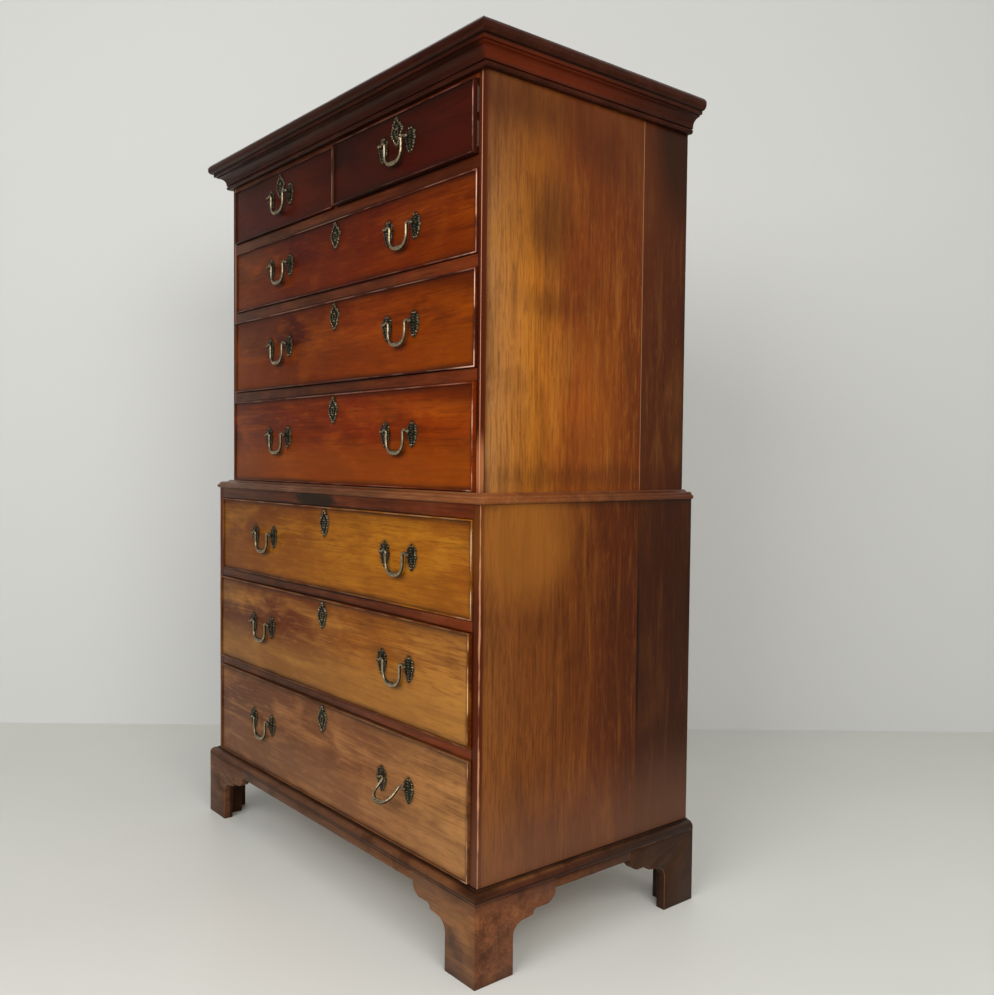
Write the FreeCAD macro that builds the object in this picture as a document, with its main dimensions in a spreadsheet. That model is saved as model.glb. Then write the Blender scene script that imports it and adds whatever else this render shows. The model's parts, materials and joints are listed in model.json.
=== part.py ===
import FreeCAD, Part
import Sketcher
import math
import os
from FreeCAD import Placement, Rotation, Vector

# Chest on chest: a mahogany chest of drawers in two carcasses, on bracket feet.
# The lower case holds three long drawers, and the upper case two short and three long ones.
# Millimetres. X runs along the width, Y from the front (-Y) to the back, Z upwards.
# The origin is on the floor, in the middle of the overall width and depth.


# ---------------------------------------------------------------- sizes
SIZES = [
    ("back_plane", 317.05, "from the origin to the back of both cases"),
    # carcasses
    ("lower_width", 1122, "lower case, outside"),
    ("lower_depth", 584, "lower case, front edge to back"),
    ("foot_height", 155, "floor to the underside of the lower case"),
    ("step_in", 27, "how far the upper case stands in at the sides and the front"),
    ("side_thick", 21, "case sides"),
    ("base_board", 20, "bottom board of each case"),
    ("cap_board", 18, "top board of each case"),
    ("back_thick", 11, "back boards"),
    ("back_lap", 10, "how far the back boards reach into the rebate of a side"),
    ("back_shake", 1, "gap between two back boards"),
    ("lower_rear", 168, "width of the rear board glued on to a lower side"),
    ("upper_rear", 136, "width of the rear board glued on to an upper side"),
    # rails, runners and dustboards
    ("rail_depth", 60, "drawer rails, front to back"),
    ("lower_rail", 19, "drawer rails of the lower case, height"),
    ("upper_rail", 23.5, "drawer rails of the upper case, height"),
    ("waist_rail", 26.5, "top rail of the lower case, height"),
    ("frieze_rail", 71.5, "top rail of the upper case, behind the cornice"),
    ("top_rail_depth", 22, "thickness of the waist and frieze rails"),
    ("muntin", 11, "upright between the short drawers"),
    ("runner_width", 30, "drawer runners"),
    ("centre_runner", 60, "runner that carries both short drawers"),
    ("guide_height", 40, "guide between the short drawers"),
    ("dustboard", 8, "thickness of the dustboards"),
    ("stop_length", 40, "drawer stops, along the rail"),
    ("stop_depth", 12, "drawer stops, front to back"),
    ("stop_height", 6, "drawer stops, above the rail"),
    ("stop_clear", 0.3, "room between a closed drawer front and its stops"),
    ("stop_inset", 150, "from the end of a drawer front to its stop"),
    # drawers, from the bottom row up
    ("row_7", 228.5, "height of the drawer fronts, bottom row"),
    ("row_6", 213, "height of the drawer fronts"),
    ("row_5", 185, "height of the drawer fronts"),
    ("row_4", 203, "height of the drawer fronts, bottom row of the upper case"),
    ("row_3", 182, "height of the drawer fronts"),
    ("row_2", 153, "height of the drawer fronts"),
    ("row_1", 135, "height of the two short drawer fronts"),
    ("rail_gap", 1.5, "room above and below a drawer front"),
    ("side_gap", 1.2, "room at each end of a drawer front"),
    ("run_clear", 0.3, "room between a drawer side and what it slides on"),
    ("front_thick", 20, "drawer fronts"),
    ("box_side", 11, "drawer sides"),
    ("box_back", 10, "drawer backs"),
    ("box_bottom", 8, "drawer bottoms"),
    ("bottom_lift", 8, "underside of the drawer bottom above the lower edge of the front"),
    ("bottom_groove", 5, "depth of the grooves that hold the drawer bottom"),
    ("side_drop", 6, "how far the drawer sides stay below the top of the front"),
    ("back_drop", 8, "how far the drawer back stays below the sides"),
    ("box_room", 24, "room behind a closed drawer"),
    ("ajar_7", 4, "how far each drawer stands open, bottom row"),
    ("ajar_6", 5, "the same"),
    ("ajar_5", 0, "the same"),
    ("ajar_4", 6, "the same, bottom row of the upper case"),
    ("ajar_3", 3, "the same"),
    ("ajar_2", 1, "the same"),
    ("ajar_left", 4, "the same, left short drawer"),
    ("ajar_right", 11, "the same, right short drawer"),
    ("tail_length", 13, "front dovetails, into the drawer front"),
    ("tail_pitch", 56, "dovetail pitch aimed at"),
    ("bead_thick", 3.5, "cockbead, across its edge"),
    ("bead_proud", 3, "cockbead, in front of the drawer front"),
    ("bead_depth", 6, "rebate in the drawer front that holds the cockbead"),
    ("bead_bevel", 1.2, "bevel that rounds off the cockbead's two front edges"),
    # cornice, from the bottom up
    ("cornice_bead", 10.5, "bead, height"),
    ("cornice_bead_out", 10, "bead, from the case to its middle"),
    ("cornice_quirk", 1.5, "small fillet above the bead, height"),
    ("cornice_quirk_out", 4, "the same, projection beyond the middle of the bead"),
    ("cornice_cove", 19.5, "cove, height"),
    ("cornice_cove_out", 18, "cove, projection"),
    ("cornice_fillet", 3, "fillet above the cove"),
    ("cornice_soffit", 7, "flat underside of the fascia"),
    ("cornice_fascia", 7, "fascia, height"),
    ("cornice_step", 2, "small step under the ovolo"),
    ("cornice_ovolo", 12, "ovolo, height"),
    ("cornice_ovolo_out", 9, "ovolo, projection"),
    ("cornice_lip", 4.5, "upright lip, height"),
    ("cornice_slope", 12, "weathered top, height"),
    ("cornice_slope_in", 14, "weathered top, set back"),
    ("cornice_rise", 8, "cornice above the top of the upper case"),
    # waist moulding
    ("waist_bead", 9, "bead, height"),
    ("waist_bead_out", 2.5, "bead, from the lower case to its middle"),
    ("waist_quirk", 1.5, "small step above the bead"),
    ("waist_ovolo", 5, "round part of the ogee, height"),
    ("waist_ovolo_in", 8, "round part of the ogee, width"),
    ("waist_cove", 4.5, "hollow part of the ogee, height"),
    ("waist_cove_in", 12, "hollow part of the ogee, width"),
    ("waist_clear", 0.5, "room between the waist moulding and the upper case"),
    # base moulding and feet
    ("base_proud", 20, "base moulding, projection"),
    ("base_lip", 4, "upright lip at the bottom of the base moulding"),
    ("base_ovolo", 13, "ovolo, height and projection"),
    ("base_fillet", 2, "fillet on top"),
    ("plinth_drop", 19, "strip under the base moulding, between the feet"),
    ("bracket_thick", 22, "foot brackets"),
    ("bracket_length", 200, "foot brackets, along the case"),
    ("foot_width", 91, "foot at the floor"),
    ("foot_leg", 72, "upright inner edge of the foot"),
    ("bracket_cove", 25, "hollow at the top of the leg"),
    ("bracket_run", 24, "flat from the hollow to the cusp"),
    ("bracket_cusp", 9, "step up at the cusp"),
    ("bracket_round", 26, "round end of the bracket"),
    ("bracket_lip", 2, "flat between the round end and the strip"),
    ("foot_block", 40, "glue block in the corner of a foot"),
    ("rear_bracket", 120, "plain back bracket, at the top"),
    ("rear_bracket_foot", 60, "plain back bracket, at the floor"),
    ("rear_bracket_thick", 18, "plain back bracket"),
    # handles
    ("upper_handle", 264, "centre of a long drawer's handles, from the middle, upper case"),
    ("lower_handle", 296, "the same in the lower case"),
    ("handle_rise", 13, "posts above the middle of a long drawer front"),
    ("short_handle_rise", 10, "posts above the middle of a short drawer front"),
    ("post_spacing", 98, "centre to centre of a handle's two posts"),
    ("post_shank", 2.5, "square shank of a post, half width"),
    ("post_collar", 5, "post collar, half width"),
    ("post_neck", 3.2, "post neck, half width"),
    ("post_step", 1.8, "post collar, thickness"),
    ("post_ball", 5.5, "post head, half width"),
    ("post_bevel", 2.2, "bevels that round off a post head"),
    ("post_reach", 10, "centre of the head in front of the drawer front"),
    ("nut_width", 12, "square nut"),
    ("nut_thick", 3, "square nut"),
    ("plate_thick", 1.6, "backplates and escutcheons"),
    ("plate_half", 16.5, "backplate, half width"),
    ("plate_rise", 21, "backplate above the post"),
    ("plate_fall", 31, "backplate below the post"),
    ("hole_clear", 0.1, "room round a shank in a plate or a drawer front"),
    ("pivot", 1.85, "bail pivot, radius"),
    ("pivot_clear", 0.05, "room round a bail pivot in its post"),
    ("bail_wire", 2.8, "bail, radius"),
    ("bail_half", 30, "bail, middle to the line of an arm"),
    ("bail_neck", 8, "bend at the top of an arm"),
    ("bail_drop", 43.5, "pivot to the line of the bottom bar"),
    ("bail_corner", 17.5, "bend at the foot of an arm"),
    ("bail_swell", 4.8, "swelling of the bottom bar, radius"),
    ("bail_swell_length", 46, "swelling of the bottom bar, length"),
    ("bail_swell_taper", 17, "tapering ends of the swelling"),
    ("bail_clear", 0.5, "room between a bail neck and its post"),
    ("raised_angle", 45, "how far the raised bail stands out, in degrees"),
    # escutcheons and locks
    ("escutcheon_half", 17, "escutcheon, half width"),
    ("escutcheon_rise", 31.5, "escutcheon, half height"),
    ("escutcheon_drop", 35.5, "keyhole below the top edge of the drawer front"),
    ("keyhole_radius", 3, "round part of the keyhole, radius"),
    ("key_slot", 3, "slot of the keyhole, width"),
    ("key_slot_length", 9, "slot of the keyhole, below its centre"),
    ("key_room", 1, "room round the keyhole in the wood behind the escutcheon"),
    ("lock_width", 62, "till lock"),
    ("lock_height", 48, "till lock"),
    ("lock_thick", 12, "till lock"),
]

doc = FreeCAD.newDocument("ChestOnChest")
sheet = doc.addObject("Spreadsheet::Sheet", "Sizes")
for row, (alias, millimetres, meaning) in enumerate(SIZES, start=1):
    sheet.set(f"A{row}", meaning)
    sheet.set(f"B{row}", str(millimetres))
    sheet.setAlias(f"B{row}", alias)
doc.recompute()


class Size:
    """A length: its value now, and the sheet expression that keeps it up to date."""

    def __init__(self, text, value):
        self.text = text
        self.value = value

    @staticmethod
    def of(number):
        return number if isinstance(number, Size) else Size(repr(number), number)

    def __add__(self, other):
        other = Size.of(other)
        return Size(f"({self.text} + {other.text})", self.value + other.value)

    def __sub__(self, other):
        other = Size.of(other)
        return Size(f"({self.text} - {other.text})", self.value - other.value)

    def __mul__(self, other):
        other = Size.of(other)
        return Size(f"({self.text} * {other.text})", self.value * other.value)

    def __truediv__(self, other):
        other = Size.of(other)
        return Size(f"({self.text} / {other.text})", self.value / other.value)

    def __neg__(self):
        return Size(f"(-1 * {self.text})", -self.value)

    def __radd__(self, other):
        return Size.of(other) + self

    def __rsub__(self, other):
        return Size.of(other) - self

    def __rmul__(self, other):
        return Size.of(other) * self


def root(size):
    """The square root of a size."""
    return Size(f"sqrt({size.text})", math.sqrt(size.value))


def named(alias):
    return Size(f"Sizes.{alias}", float(sheet.get(alias)))


ZERO = Size("0", 0.0)
S = {alias: named(alias) for alias, millimetres, meaning in SIZES}


# ---------------------------------------------------------------- building blocks
def bind(thing, prop, size):
    """Tie a property to the sheet."""
    thing.setExpression(prop, Size.of(size).text)


def place(thing, x=ZERO, y=ZERO, z=ZERO, turn=Rotation()):
    """Stand a finished object at x, y, z, turned."""
    thing.Placement = Placement(Vector(), turn)
    for axis, size in zip("xyz", (x, y, z)):
        bind(thing, f"Placement.Base.{axis}", size)
    return thing


def about(axis, degrees):
    return Rotation(Vector(*axis), degrees)


def board(label, x0, x1, y0, y1, z0, z1):
    """A squared board between two corners."""
    box = doc.addObject("Part::Box", label)
    bind(box, "Length", x1 - x0)
    bind(box, "Width", y1 - y0)
    bind(box, "Height", z1 - z0)
    return place(box, x0, y0, z0)


def taper(label, x, y, z, far_x, far_z):
    """A prism along Y: x and z are its (low, high) limits at the first y, far_x and far_z at the last."""
    wedge = doc.addObject("Part::Wedge", label)
    limits = {"Xmin": x[0], "Xmax": x[1], "Ymin": y[0], "Ymax": y[1], "Zmin": z[0], "Zmax": z[1],
              "X2min": far_x[0], "X2max": far_x[1], "Z2min": far_z[0], "Z2max": far_z[1]}
    for prop, size in limits.items():
        bind(wedge, prop, size)
    return wedge


def group(label, members):
    """Several separate solids in one object."""
    compound = doc.addObject("Part::Compound", label)
    compound.Links = members
    return compound


def cut(label, base, tools):
    """A base with what the tools fill taken out."""
    result = doc.addObject("Part::Cut", label)
    result.Base = base
    result.Tool = tools[0] if len(tools) == 1 else group(label + "_tools", tools)
    return result


def fused(label, members):
    result = doc.addObject("Part::MultiFuse", label)
    result.Shapes = members
    result.Refine = True
    return result


def copy_of(master, label, x, y, z, turn=Rotation()):
    """The same piece again, in another place."""
    link = doc.addObject("App::Link", label)
    link.LinkedObject = master
    link.LinkTransform = False
    return place(link, x, y, z, turn)


# ---------------------------------------------------------------- sketches
def chord(p, q):
    return root((q[0] - p[0]) * (q[0] - p[0]) + (q[1] - p[1]) * (q[1] - p[1]))


def arc_centre(p, q, radius, turn):
    """Centre of the arc under half a turn from p to q: on the left when turn is 1, on the right when -1."""
    dx, dy = q[0] - p[0], q[1] - p[1]
    span = math.hypot(dx, dy)
    rise = math.sqrt(max(radius * radius - span * span / 4, 0.0))
    middle = ((p[0] + q[0]) / 2, (p[1] + q[1]) / 2)
    return (middle[0] - turn * dy / span * rise, middle[1] + turn * dx / span * rise)


def numbers(point):
    return (Size.of(point[0]).value, Size.of(point[1]).value)


def add_edge(sketch, p, q, bend):
    """One line, or one arc when bend is (turn, radius). Returns its index and its start and end vertices."""
    start, end = numbers(p), numbers(q)
    if bend is None:
        line = Part.LineSegment(Vector(*start, 0), Vector(*end, 0))
        return sketch.addGeometry(line, False), 1, 2
    turn, radius = bend
    centre = arc_centre(start, end, radius.value, turn)
    circle = Part.Circle(Vector(*centre, 0), Vector(0, 0, 1), radius.value)
    first, last = (start, end) if turn > 0 else (end, start)
    angles = [math.atan2(point[1] - centre[1], point[0] - centre[0]) for point in (first, last)]
    if angles[1] < angles[0]:
        angles[1] += 2 * math.pi
    index = sketch.addGeometry(Part.ArcOfCircle(circle, *angles), False)
    constrain(sketch, ("Radius", index), radius)
    return (index, 1, 2) if turn > 0 else (index, 2, 1)


def constrain(sketch, what, size):
    """Add a dimension to a sketch and tie it to the sheet."""
    size = Size.of(size)
    number = sketch.addConstraint(Sketcher.Constraint(*what, size.value))
    sketch.setExpression(f"Constraints[{number}]", size.text)


def pin_vertex(sketch, edge, vertex, point):
    constrain(sketch, ("DistanceX", -1, 1, edge, vertex), point[0])
    constrain(sketch, ("DistanceY", -1, 1, edge, vertex), point[1])


def new_sketch(body, label, plane, offset=None):
    """A sketch on one of the body's own planes. offset is (direction, size) from it."""
    sketch = body.newObject("Sketcher::SketchObject", label)
    support = next(feature for feature in body.Origin.OriginFeatures if feature.Role == plane)
    sketch.AttachmentSupport = [(support, "")]
    sketch.MapMode = "FlatFace"
    if offset:
        bind(sketch, f"AttachmentOffset.Base.{offset[0]}", offset[1])
    return sketch


def draw(sketch, path, closed=True):
    """Draw a path of (u, v) points. A third item (turn, radius) makes the edge that arrives there an arc."""
    count = len(path) if closed else len(path) - 1
    edges = []
    for step in range(count):
        start, end = path[step], path[(step + 1) % len(path)]
        edges.append(add_edge(sketch, start, end, end[2] if len(end) > 2 else None))
    for step in range(count if closed else count - 1):
        here, following = edges[step], edges[(step + 1) % len(edges)]
        sketch.addConstraint(Sketcher.Constraint("Coincident", here[0], here[2], following[0], following[1]))
    for step, (edge, start, end) in enumerate(edges):
        pin_vertex(sketch, edge, start, path[step])
    if not closed:
        pin_vertex(sketch, edges[-1][0], edges[-1][2], path[-1])
    return sketch


def draw_circle(sketch, u, v, radius):
    centre = Vector(Size.of(u).value, Size.of(v).value, 0)
    index = sketch.addGeometry(Part.Circle(centre, Vector(0, 0, 1), radius.value), False)
    constrain(sketch, ("Radius", index), radius)
    pin_vertex(sketch, index, 3, (u, v))
    return sketch


def bend(p, q, turn, fullness=0.7071):
    """The point q reached from p by an arc whose radius is fullness times the chord."""
    return (q[0], q[1], (turn, chord(p, q) * fullness))


def new_body(label):
    return doc.addObject("PartDesign::Body", label)


def pad(body, sketch, length, both_ways=False):
    feature = body.newObject("PartDesign::Pad", body.Label + "_pad")
    feature.Profile = sketch
    bind(feature, "Length", length)
    if both_ways:
        feature.SideType = "Symmetric"
    return feature


def pierce(body, sketch):
    """Cut a sketch right through the body, both ways, and make sure that it did cut."""
    doc.recompute()
    before = body.Shape.Volume
    feature = body.newObject("PartDesign::Pocket", body.Label + "_pocket")
    feature.Profile = sketch
    feature.Type = "ThroughAll"
    feature.SideType = "Symmetric"
    doc.recompute()
    if not body.Shape.Volume < before:
        raise RuntimeError(f"{body.Label}: a pocket cut nothing")
    return feature


# ---------------------------------------------------------------- levels and faces
BACK = S["back_plane"]
LOWER_FRONT = BACK - S["lower_depth"]
UPPER_FRONT = LOWER_FRONT + S["step_in"]
LOWER_HALF = S["lower_width"] / 2
UPPER_HALF = LOWER_HALF - S["step_in"]


def stack(bottom, heights, rail):
    """Lower edges of the drawer fronts of one case, from the bottom row up, and the top of the last gap."""
    level = bottom + S["base_board"]
    edges = []
    for height in heights:
        edges.append(level + S["rail_gap"])
        level = level + height + S["rail_gap"] * 2
        top = level
        level = level + rail
    return edges, top


LOWER_ROWS = [S["row_7"], S["row_6"], S["row_5"]]
UPPER_ROWS = [S["row_4"], S["row_3"], S["row_2"], S["row_1"]]
LOWER_EDGES, LOWER_OPENING_TOP = stack(S["foot_height"], LOWER_ROWS, S["lower_rail"])
LOWER_TOP = LOWER_OPENING_TOP + S["waist_rail"]
UPPER_EDGES, UPPER_OPENING_TOP = stack(LOWER_TOP, UPPER_ROWS, S["upper_rail"])
UPPER_TOP = UPPER_OPENING_TOP + S["frieze_rail"]

nodes = {}


def node(label, members):
    """A sub-part of the chest: one object with one or more separate solids."""
    nodes[label] = members[0] if len(members) == 1 else group(label, members)
    nodes[label].Label = label


# ---------------------------------------------------------------- the two cases
class Case:
    """The sizes that the pieces of one carcass share."""

    def __init__(self, name, half, front, bottom, top, rear_board, rail, top_rail):
        self.name = name
        self.half = half
        self.inside = half - S["side_thick"]
        self.front = front
        self.bottom = bottom
        self.top = top
        self.rear_board = rear_board
        self.rail = rail
        self.top_rail = top_rail
        self.back_inside = BACK - S["back_thick"]


LOWER = Case("lower", LOWER_HALF, LOWER_FRONT, S["foot_height"], LOWER_TOP, S["lower_rear"],
             S["lower_rail"], S["waist_rail"])
UPPER = Case("upper", UPPER_HALF, UPPER_FRONT, LOWER_TOP, UPPER_TOP, S["upper_rear"],
             S["upper_rail"], S["frieze_rail"])


def make_side(case, name, hand):
    """A case side of two boards glued edge to edge; the rear board is rebated for the back."""
    label = f"{case.name}_side_{name}"
    outer, inner = case.half * hand, case.inside * hand
    x0, x1 = (inner, outer) if hand > 0 else (outer, inner)
    joint = BACK - case.rear_board
    rebate = (inner, inner + S["back_lap"]) if hand > 0 else (inner - S["back_lap"], inner)
    front_board = board(label + "_front_board", x0, x1, case.front, joint, case.bottom, case.top)
    blank = board(label + "_rear_blank", x0, x1, joint, BACK, case.bottom, case.top)
    notch = board(label + "_rebate", *rebate, case.back_inside, BACK, case.bottom, case.top)
    node(label, [front_board, cut(label + "_rear_board", blank, [notch])])


def make_back(case, boards=4):
    """Upright back boards in the rebates, a little apart."""
    label = f"{case.name}_back_boards"
    reach = case.inside + S["back_lap"]
    width = (reach * 2 - S["back_shake"] * (boards - 1)) / boards
    members = []
    for number in range(boards):
        x0 = (width + S["back_shake"]) * number - reach
        members.append(board(f"{label}_{number}", x0, x0 + width, case.back_inside, BACK,
                             case.bottom, case.top))
    node(label, members)


def make_carcass(case):
    for name, hand in (("left", -1), ("right", 1)):
        make_side(case, name, hand)
    make_back(case)
    left, right = -case.inside, case.inside
    node(f"{case.name}_bottom_board", [board(f"{case.name}_bottom_board", left, right, case.front,
                                             case.back_inside, case.bottom,
                                             case.bottom + S["base_board"])])
    node(f"{case.name}_top_board", [board(f"{case.name}_top_board", left, right,
                                          case.front + S["top_rail_depth"], case.back_inside,
                                          case.top - S["cap_board"], case.top)])


def drawer_stops(case, label, level, left, right):
    """Two blocks glued on the rail, just behind the closed drawer front."""
    near = case.front + S["front_thick"] + S["stop_clear"]
    members = []
    for side, x0 in (("left", left + S["stop_inset"]),
                     ("right", right - S["stop_inset"] - S["stop_length"])):
        members.append(board(f"{label}_stop_{side}", x0, x0 + S["stop_length"], near,
                             near + S["stop_depth"], level, level + S["stop_height"]))
    return members


def make_rails(case, edges, opening_top, halves):
    """Front rails with the drawer stops on them, and the runners and dustboards behind them."""
    left, right = -case.inside, case.inside
    behind = case.front + S["rail_depth"]
    rails = [board(f"{case.name}_top_rail", left, right, case.front, case.front + S["top_rail_depth"],
                   opening_top, case.top)]
    runners, dustboards = [], []
    for number, edge in enumerate(edges):
        top = edge - S["rail_gap"]
        last = number == len(edges) - 1
        spans = [(left, right)]
        if last and halves:
            spans = [(left, -S["muntin"] / 2), (S["muntin"] / 2, right)]
        for part, (x0, x1) in enumerate(spans):
            rails += drawer_stops(case, f"{case.name}_{number}_{part}", top, x0, x1)
        if number == 0:
            continue
        low = top - case.rail
        rails.append(board(f"{case.name}_rail_{number}", left, right, case.front, behind, low, top))
        inner = case.inside - S["runner_width"]
        for x0, x1 in ((left, -inner), (inner, right)):
            runners.append(board(f"{case.name}_runner_{number}", x0, x1, behind, case.back_inside,
                                 low, top))
        middle = (low + top) / 2
        panels = [(-inner, inner)]
        if last and halves:
            centre = S["centre_runner"] / 2
            runners.append(board("centre_runner", -centre, centre, behind, case.back_inside, low, top))
            panels = [(-inner, -centre), (centre, inner)]
        for x0, x1 in panels:
            dustboards.append(board(f"{case.name}_dustboard_{number}", x0, x1, behind,
                                    case.back_inside, middle - S["dustboard"] / 2,
                                    middle + S["dustboard"] / 2))
    if halves:
        level = edges[-1] - S["rail_gap"]
        middle = S["muntin"] / 2
        node("muntin", [board("muntin", -middle, middle, case.front, behind, level, opening_top)])
        runners.append(board("centre_guide", -middle, middle, behind, case.back_inside, level,
                             level + S["guide_height"]))
    node(f"{case.name}_rails", rails)
    node(f"{case.name}_runners", runners + dustboards)


make_carcass(LOWER)
make_carcass(UPPER)
make_rails(LOWER, LOWER_EDGES, LOWER_OPENING_TOP, halves=False)
make_rails(UPPER, UPPER_EDGES, UPPER_OPENING_TOP, halves=True)


# ---------------------------------------------------------------- mouldings
def moulding(label, path, length, reach, mitre_start, mitre_end):
    """A length of moulding along +X that faces -Y, with its ends mitred where it meets the next length.

    path is its section in (y, z). reach is more than the section goes to either side of y = 0.
    """
    body = new_body(label)
    section = draw(new_sketch(body, label + "_section", "YZ_Plane", ("z", -reach)), path)
    pad(body, section, length + reach * 2)
    if mitre_start:
        corner = [(-reach * 2, -reach * 2), (reach * 2, reach * 2), (-reach * 2, reach * 2)]
    else:
        corner = [(-reach * 2, -reach * 2), (ZERO, -reach * 2), (ZERO, reach * 2), (-reach * 2, reach * 2)]
    pierce(body, draw(new_sketch(body, label + "_start", "XY_Plane"), corner))
    if mitre_end:
        corner = [(length + reach * 2, -reach * 2), (length + reach * 2, reach * 2),
                  (length - reach * 2, reach * 2)]
    else:
        corner = [(length, -reach * 2), (length + reach * 2, -reach * 2),
                  (length + reach * 2, reach * 2), (length, reach * 2)]
    pierce(body, draw(new_sketch(body, label + "_end", "XY_Plane"), corner))
    return body


def mitred_set(label, path, case, z, reach):
    """Three lengths of one moulding: along the front, and back along each side."""
    depth = BACK - case.front
    front = moulding(label + "_front", path, case.half * 2, reach, True, True)
    place(front, -case.half, case.front, z)
    right = moulding(label + "_right", path, depth, reach, True, False)
    place(right, case.half, case.front, z, about((0, 0, 1), 90))
    left = moulding(label + "_left", path, depth, reach, False, True)
    place(left, -case.half, BACK, z, about((0, 0, 1), -90))
    return [front, right, left]


def running(path_steps):
    """Turn steps (du, dv) or (du, dv, turn, fullness) into a path that starts at the first step."""
    u, v = path_steps[0][0], path_steps[0][1]
    path = [(u, v)]
    for step in path_steps[1:]:
        corner = (u + step[0], v + step[1])
        path.append(bend((u, v), corner, step[2], step[3]) if len(step) > 2 else corner)
        u, v = corner
    return path


def make_cornice():
    """Bead, cove, fascia, ovolo and a weathered top."""
    height = (S["cornice_bead"] + S["cornice_quirk"] + S["cornice_cove"] + S["cornice_fillet"]
              + S["cornice_fascia"] + S["cornice_ovolo"] + S["cornice_lip"] + S["cornice_slope"])
    path = running([
        (ZERO, ZERO),
        (-S["cornice_bead_out"], ZERO),
        (ZERO, S["cornice_bead"], -1, 0.52),
        (-S["cornice_quirk_out"], ZERO),
        (ZERO, S["cornice_quirk"]),
        (-S["cornice_cove_out"], S["cornice_cove"], 1, 0.72),
        (ZERO, S["cornice_fillet"]),
        (-S["cornice_soffit"], ZERO),
        (ZERO, S["cornice_fascia"]),
        (-S["cornice_step"], ZERO),
        (-S["cornice_ovolo_out"], S["cornice_ovolo"], -1, 0.75),
        (ZERO, S["cornice_lip"]),
        (S["cornice_slope_in"], S["cornice_slope"], -1, 1.3),
    ]) + [(ZERO, height)]
    level = UPPER.top + S["cornice_rise"] - height
    node("cornice", mitred_set("cornice", path, UPPER, level, CORNICE_OUT + 8))


CORNICE_OUT = (S["cornice_bead_out"] + S["cornice_quirk_out"] + S["cornice_cove_out"]
               + S["cornice_soffit"] + S["cornice_step"] + S["cornice_ovolo_out"])


def make_waist_moulding():
    """A bead under an ogee, on the top edge of the lower case and round the foot of the upper one."""
    inner = S["step_in"] - S["waist_clear"]
    path = running([
        (inner, ZERO),
        (-inner - S["waist_bead_out"], ZERO),
        (ZERO, S["waist_bead"], -1, 0.52),
        (S["waist_quirk"], ZERO),
        (ZERO, S["waist_quirk"]),
        (S["waist_ovolo_in"], S["waist_ovolo"], -1, 0.75),
        (S["waist_cove_in"], S["waist_cove"], 1, 0.95),
    ])
    top = path[-1][1]
    path.append((inner, top))
    node("waist_moulding", mitred_set("waist", path, LOWER, LOWER.top, S["step_in"] * 2))


def make_base_moulding():
    """An ovolo between a lip and a fillet, and the strips that carry it between the feet."""
    height = S["base_lip"] + S["base_ovolo"] + S["base_fillet"]
    path = running([
        (ZERO, ZERO),
        (-S["base_proud"], ZERO),
        (ZERO, S["base_lip"]),
        (S["base_ovolo"], S["base_ovolo"], -1, 0.7071),
        (S["base_fillet"], ZERO),
        (ZERO, S["base_fillet"]),
    ]) + [(ZERO, height)]
    lengths = mitred_set("base", path, LOWER, LOWER.bottom, S["base_proud"] * 2)
    low, high = LOWER.bottom - S["plinth_drop"], LOWER.bottom
    out = S["base_proud"]
    outer, thick = LOWER.half + out, S["bracket_thick"]
    end = outer - S["bracket_length"]
    face = LOWER.front - out
    lengths.append(board("plinth_front", -end, end, face, face + thick, low, high))
    for name, hand in (("left", -1), ("right", 1)):
        x0, x1 = (outer - thick, outer) if hand > 0 else (-outer, thick - outer)
        lengths.append(board(f"plinth_{name}", x0, x1, face + S["bracket_length"],
                             BACK - S["bracket_length"], low, high))
    node("base_moulding", lengths)


make_cornice()
make_waist_moulding()
make_base_moulding()


# ---------------------------------------------------------------- feet
def bracket(label, hand, mitred):
    """A shaped foot bracket. Its outer corner is at the origin, it faces -Y and runs to +X or -X."""
    body = new_body(label)
    run, fall = S["foot_width"], S["foot_height"] - S["plinth_drop"]
    cove, cusp, end = S["bracket_cove"], S["bracket_cusp"], S["bracket_round"]
    length, top = S["bracket_length"], S["foot_height"]
    ledge = S["foot_leg"] + cove
    cusp_at = run + cove + S["bracket_run"]
    under = fall - end
    points = [
        (ZERO, ZERO),
        (run, ZERO),
        (run, S["foot_leg"]),
        (run + cove, ledge, (-1, cove)),
        (cusp_at, ledge + S["bracket_cusp"] / 3),
        bend((cusp_at, ledge + S["bracket_cusp"] / 3), (cusp_at + cusp, under), -1),
        (length - end - S["bracket_lip"], under),
        (length - S["bracket_lip"], fall, (1, end)),
        (length, fall),
        (length, top),
        (ZERO, top),
    ]
    path = []
    for point in points:
        turned = [point[0] * hand, point[1]]
        if len(point) > 2:
            turned.append((point[2][0] * hand, point[2][1]))
        path.append(tuple(turned))
    shape = draw(new_sketch(body, label + "_outline", "XZ_Plane"), path)
    board_pad = pad(body, shape, S["bracket_thick"])
    board_pad.Reversed = True
    if mitred:
        size = S["bracket_thick"] * 2
        corner = [(-size * hand, -size), (size * hand, size), (-size * hand, size)]
        pierce(body, draw(new_sketch(body, label + "_mitre", "XY_Plane"), corner))
    return body


def corner_block(label, hand, back):
    """The glue block that stands in the corner of a foot and takes the weight."""
    outer = LOWER.half + S["base_proud"]
    inset = S["bracket_thick"]
    x = outer - inset
    x0, x1 = (x - S["foot_block"], x) if hand > 0 else (-x, S["foot_block"] - x)
    if back:
        y1 = BACK - S["rear_bracket_thick"]
        y0 = y1 - S["foot_block"]
    else:
        y0 = LOWER.front - S["base_proud"] + inset
        y1 = y0 + S["foot_block"]
    return board(label, x0, x1, y0, y1, ZERO, S["foot_height"])


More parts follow.
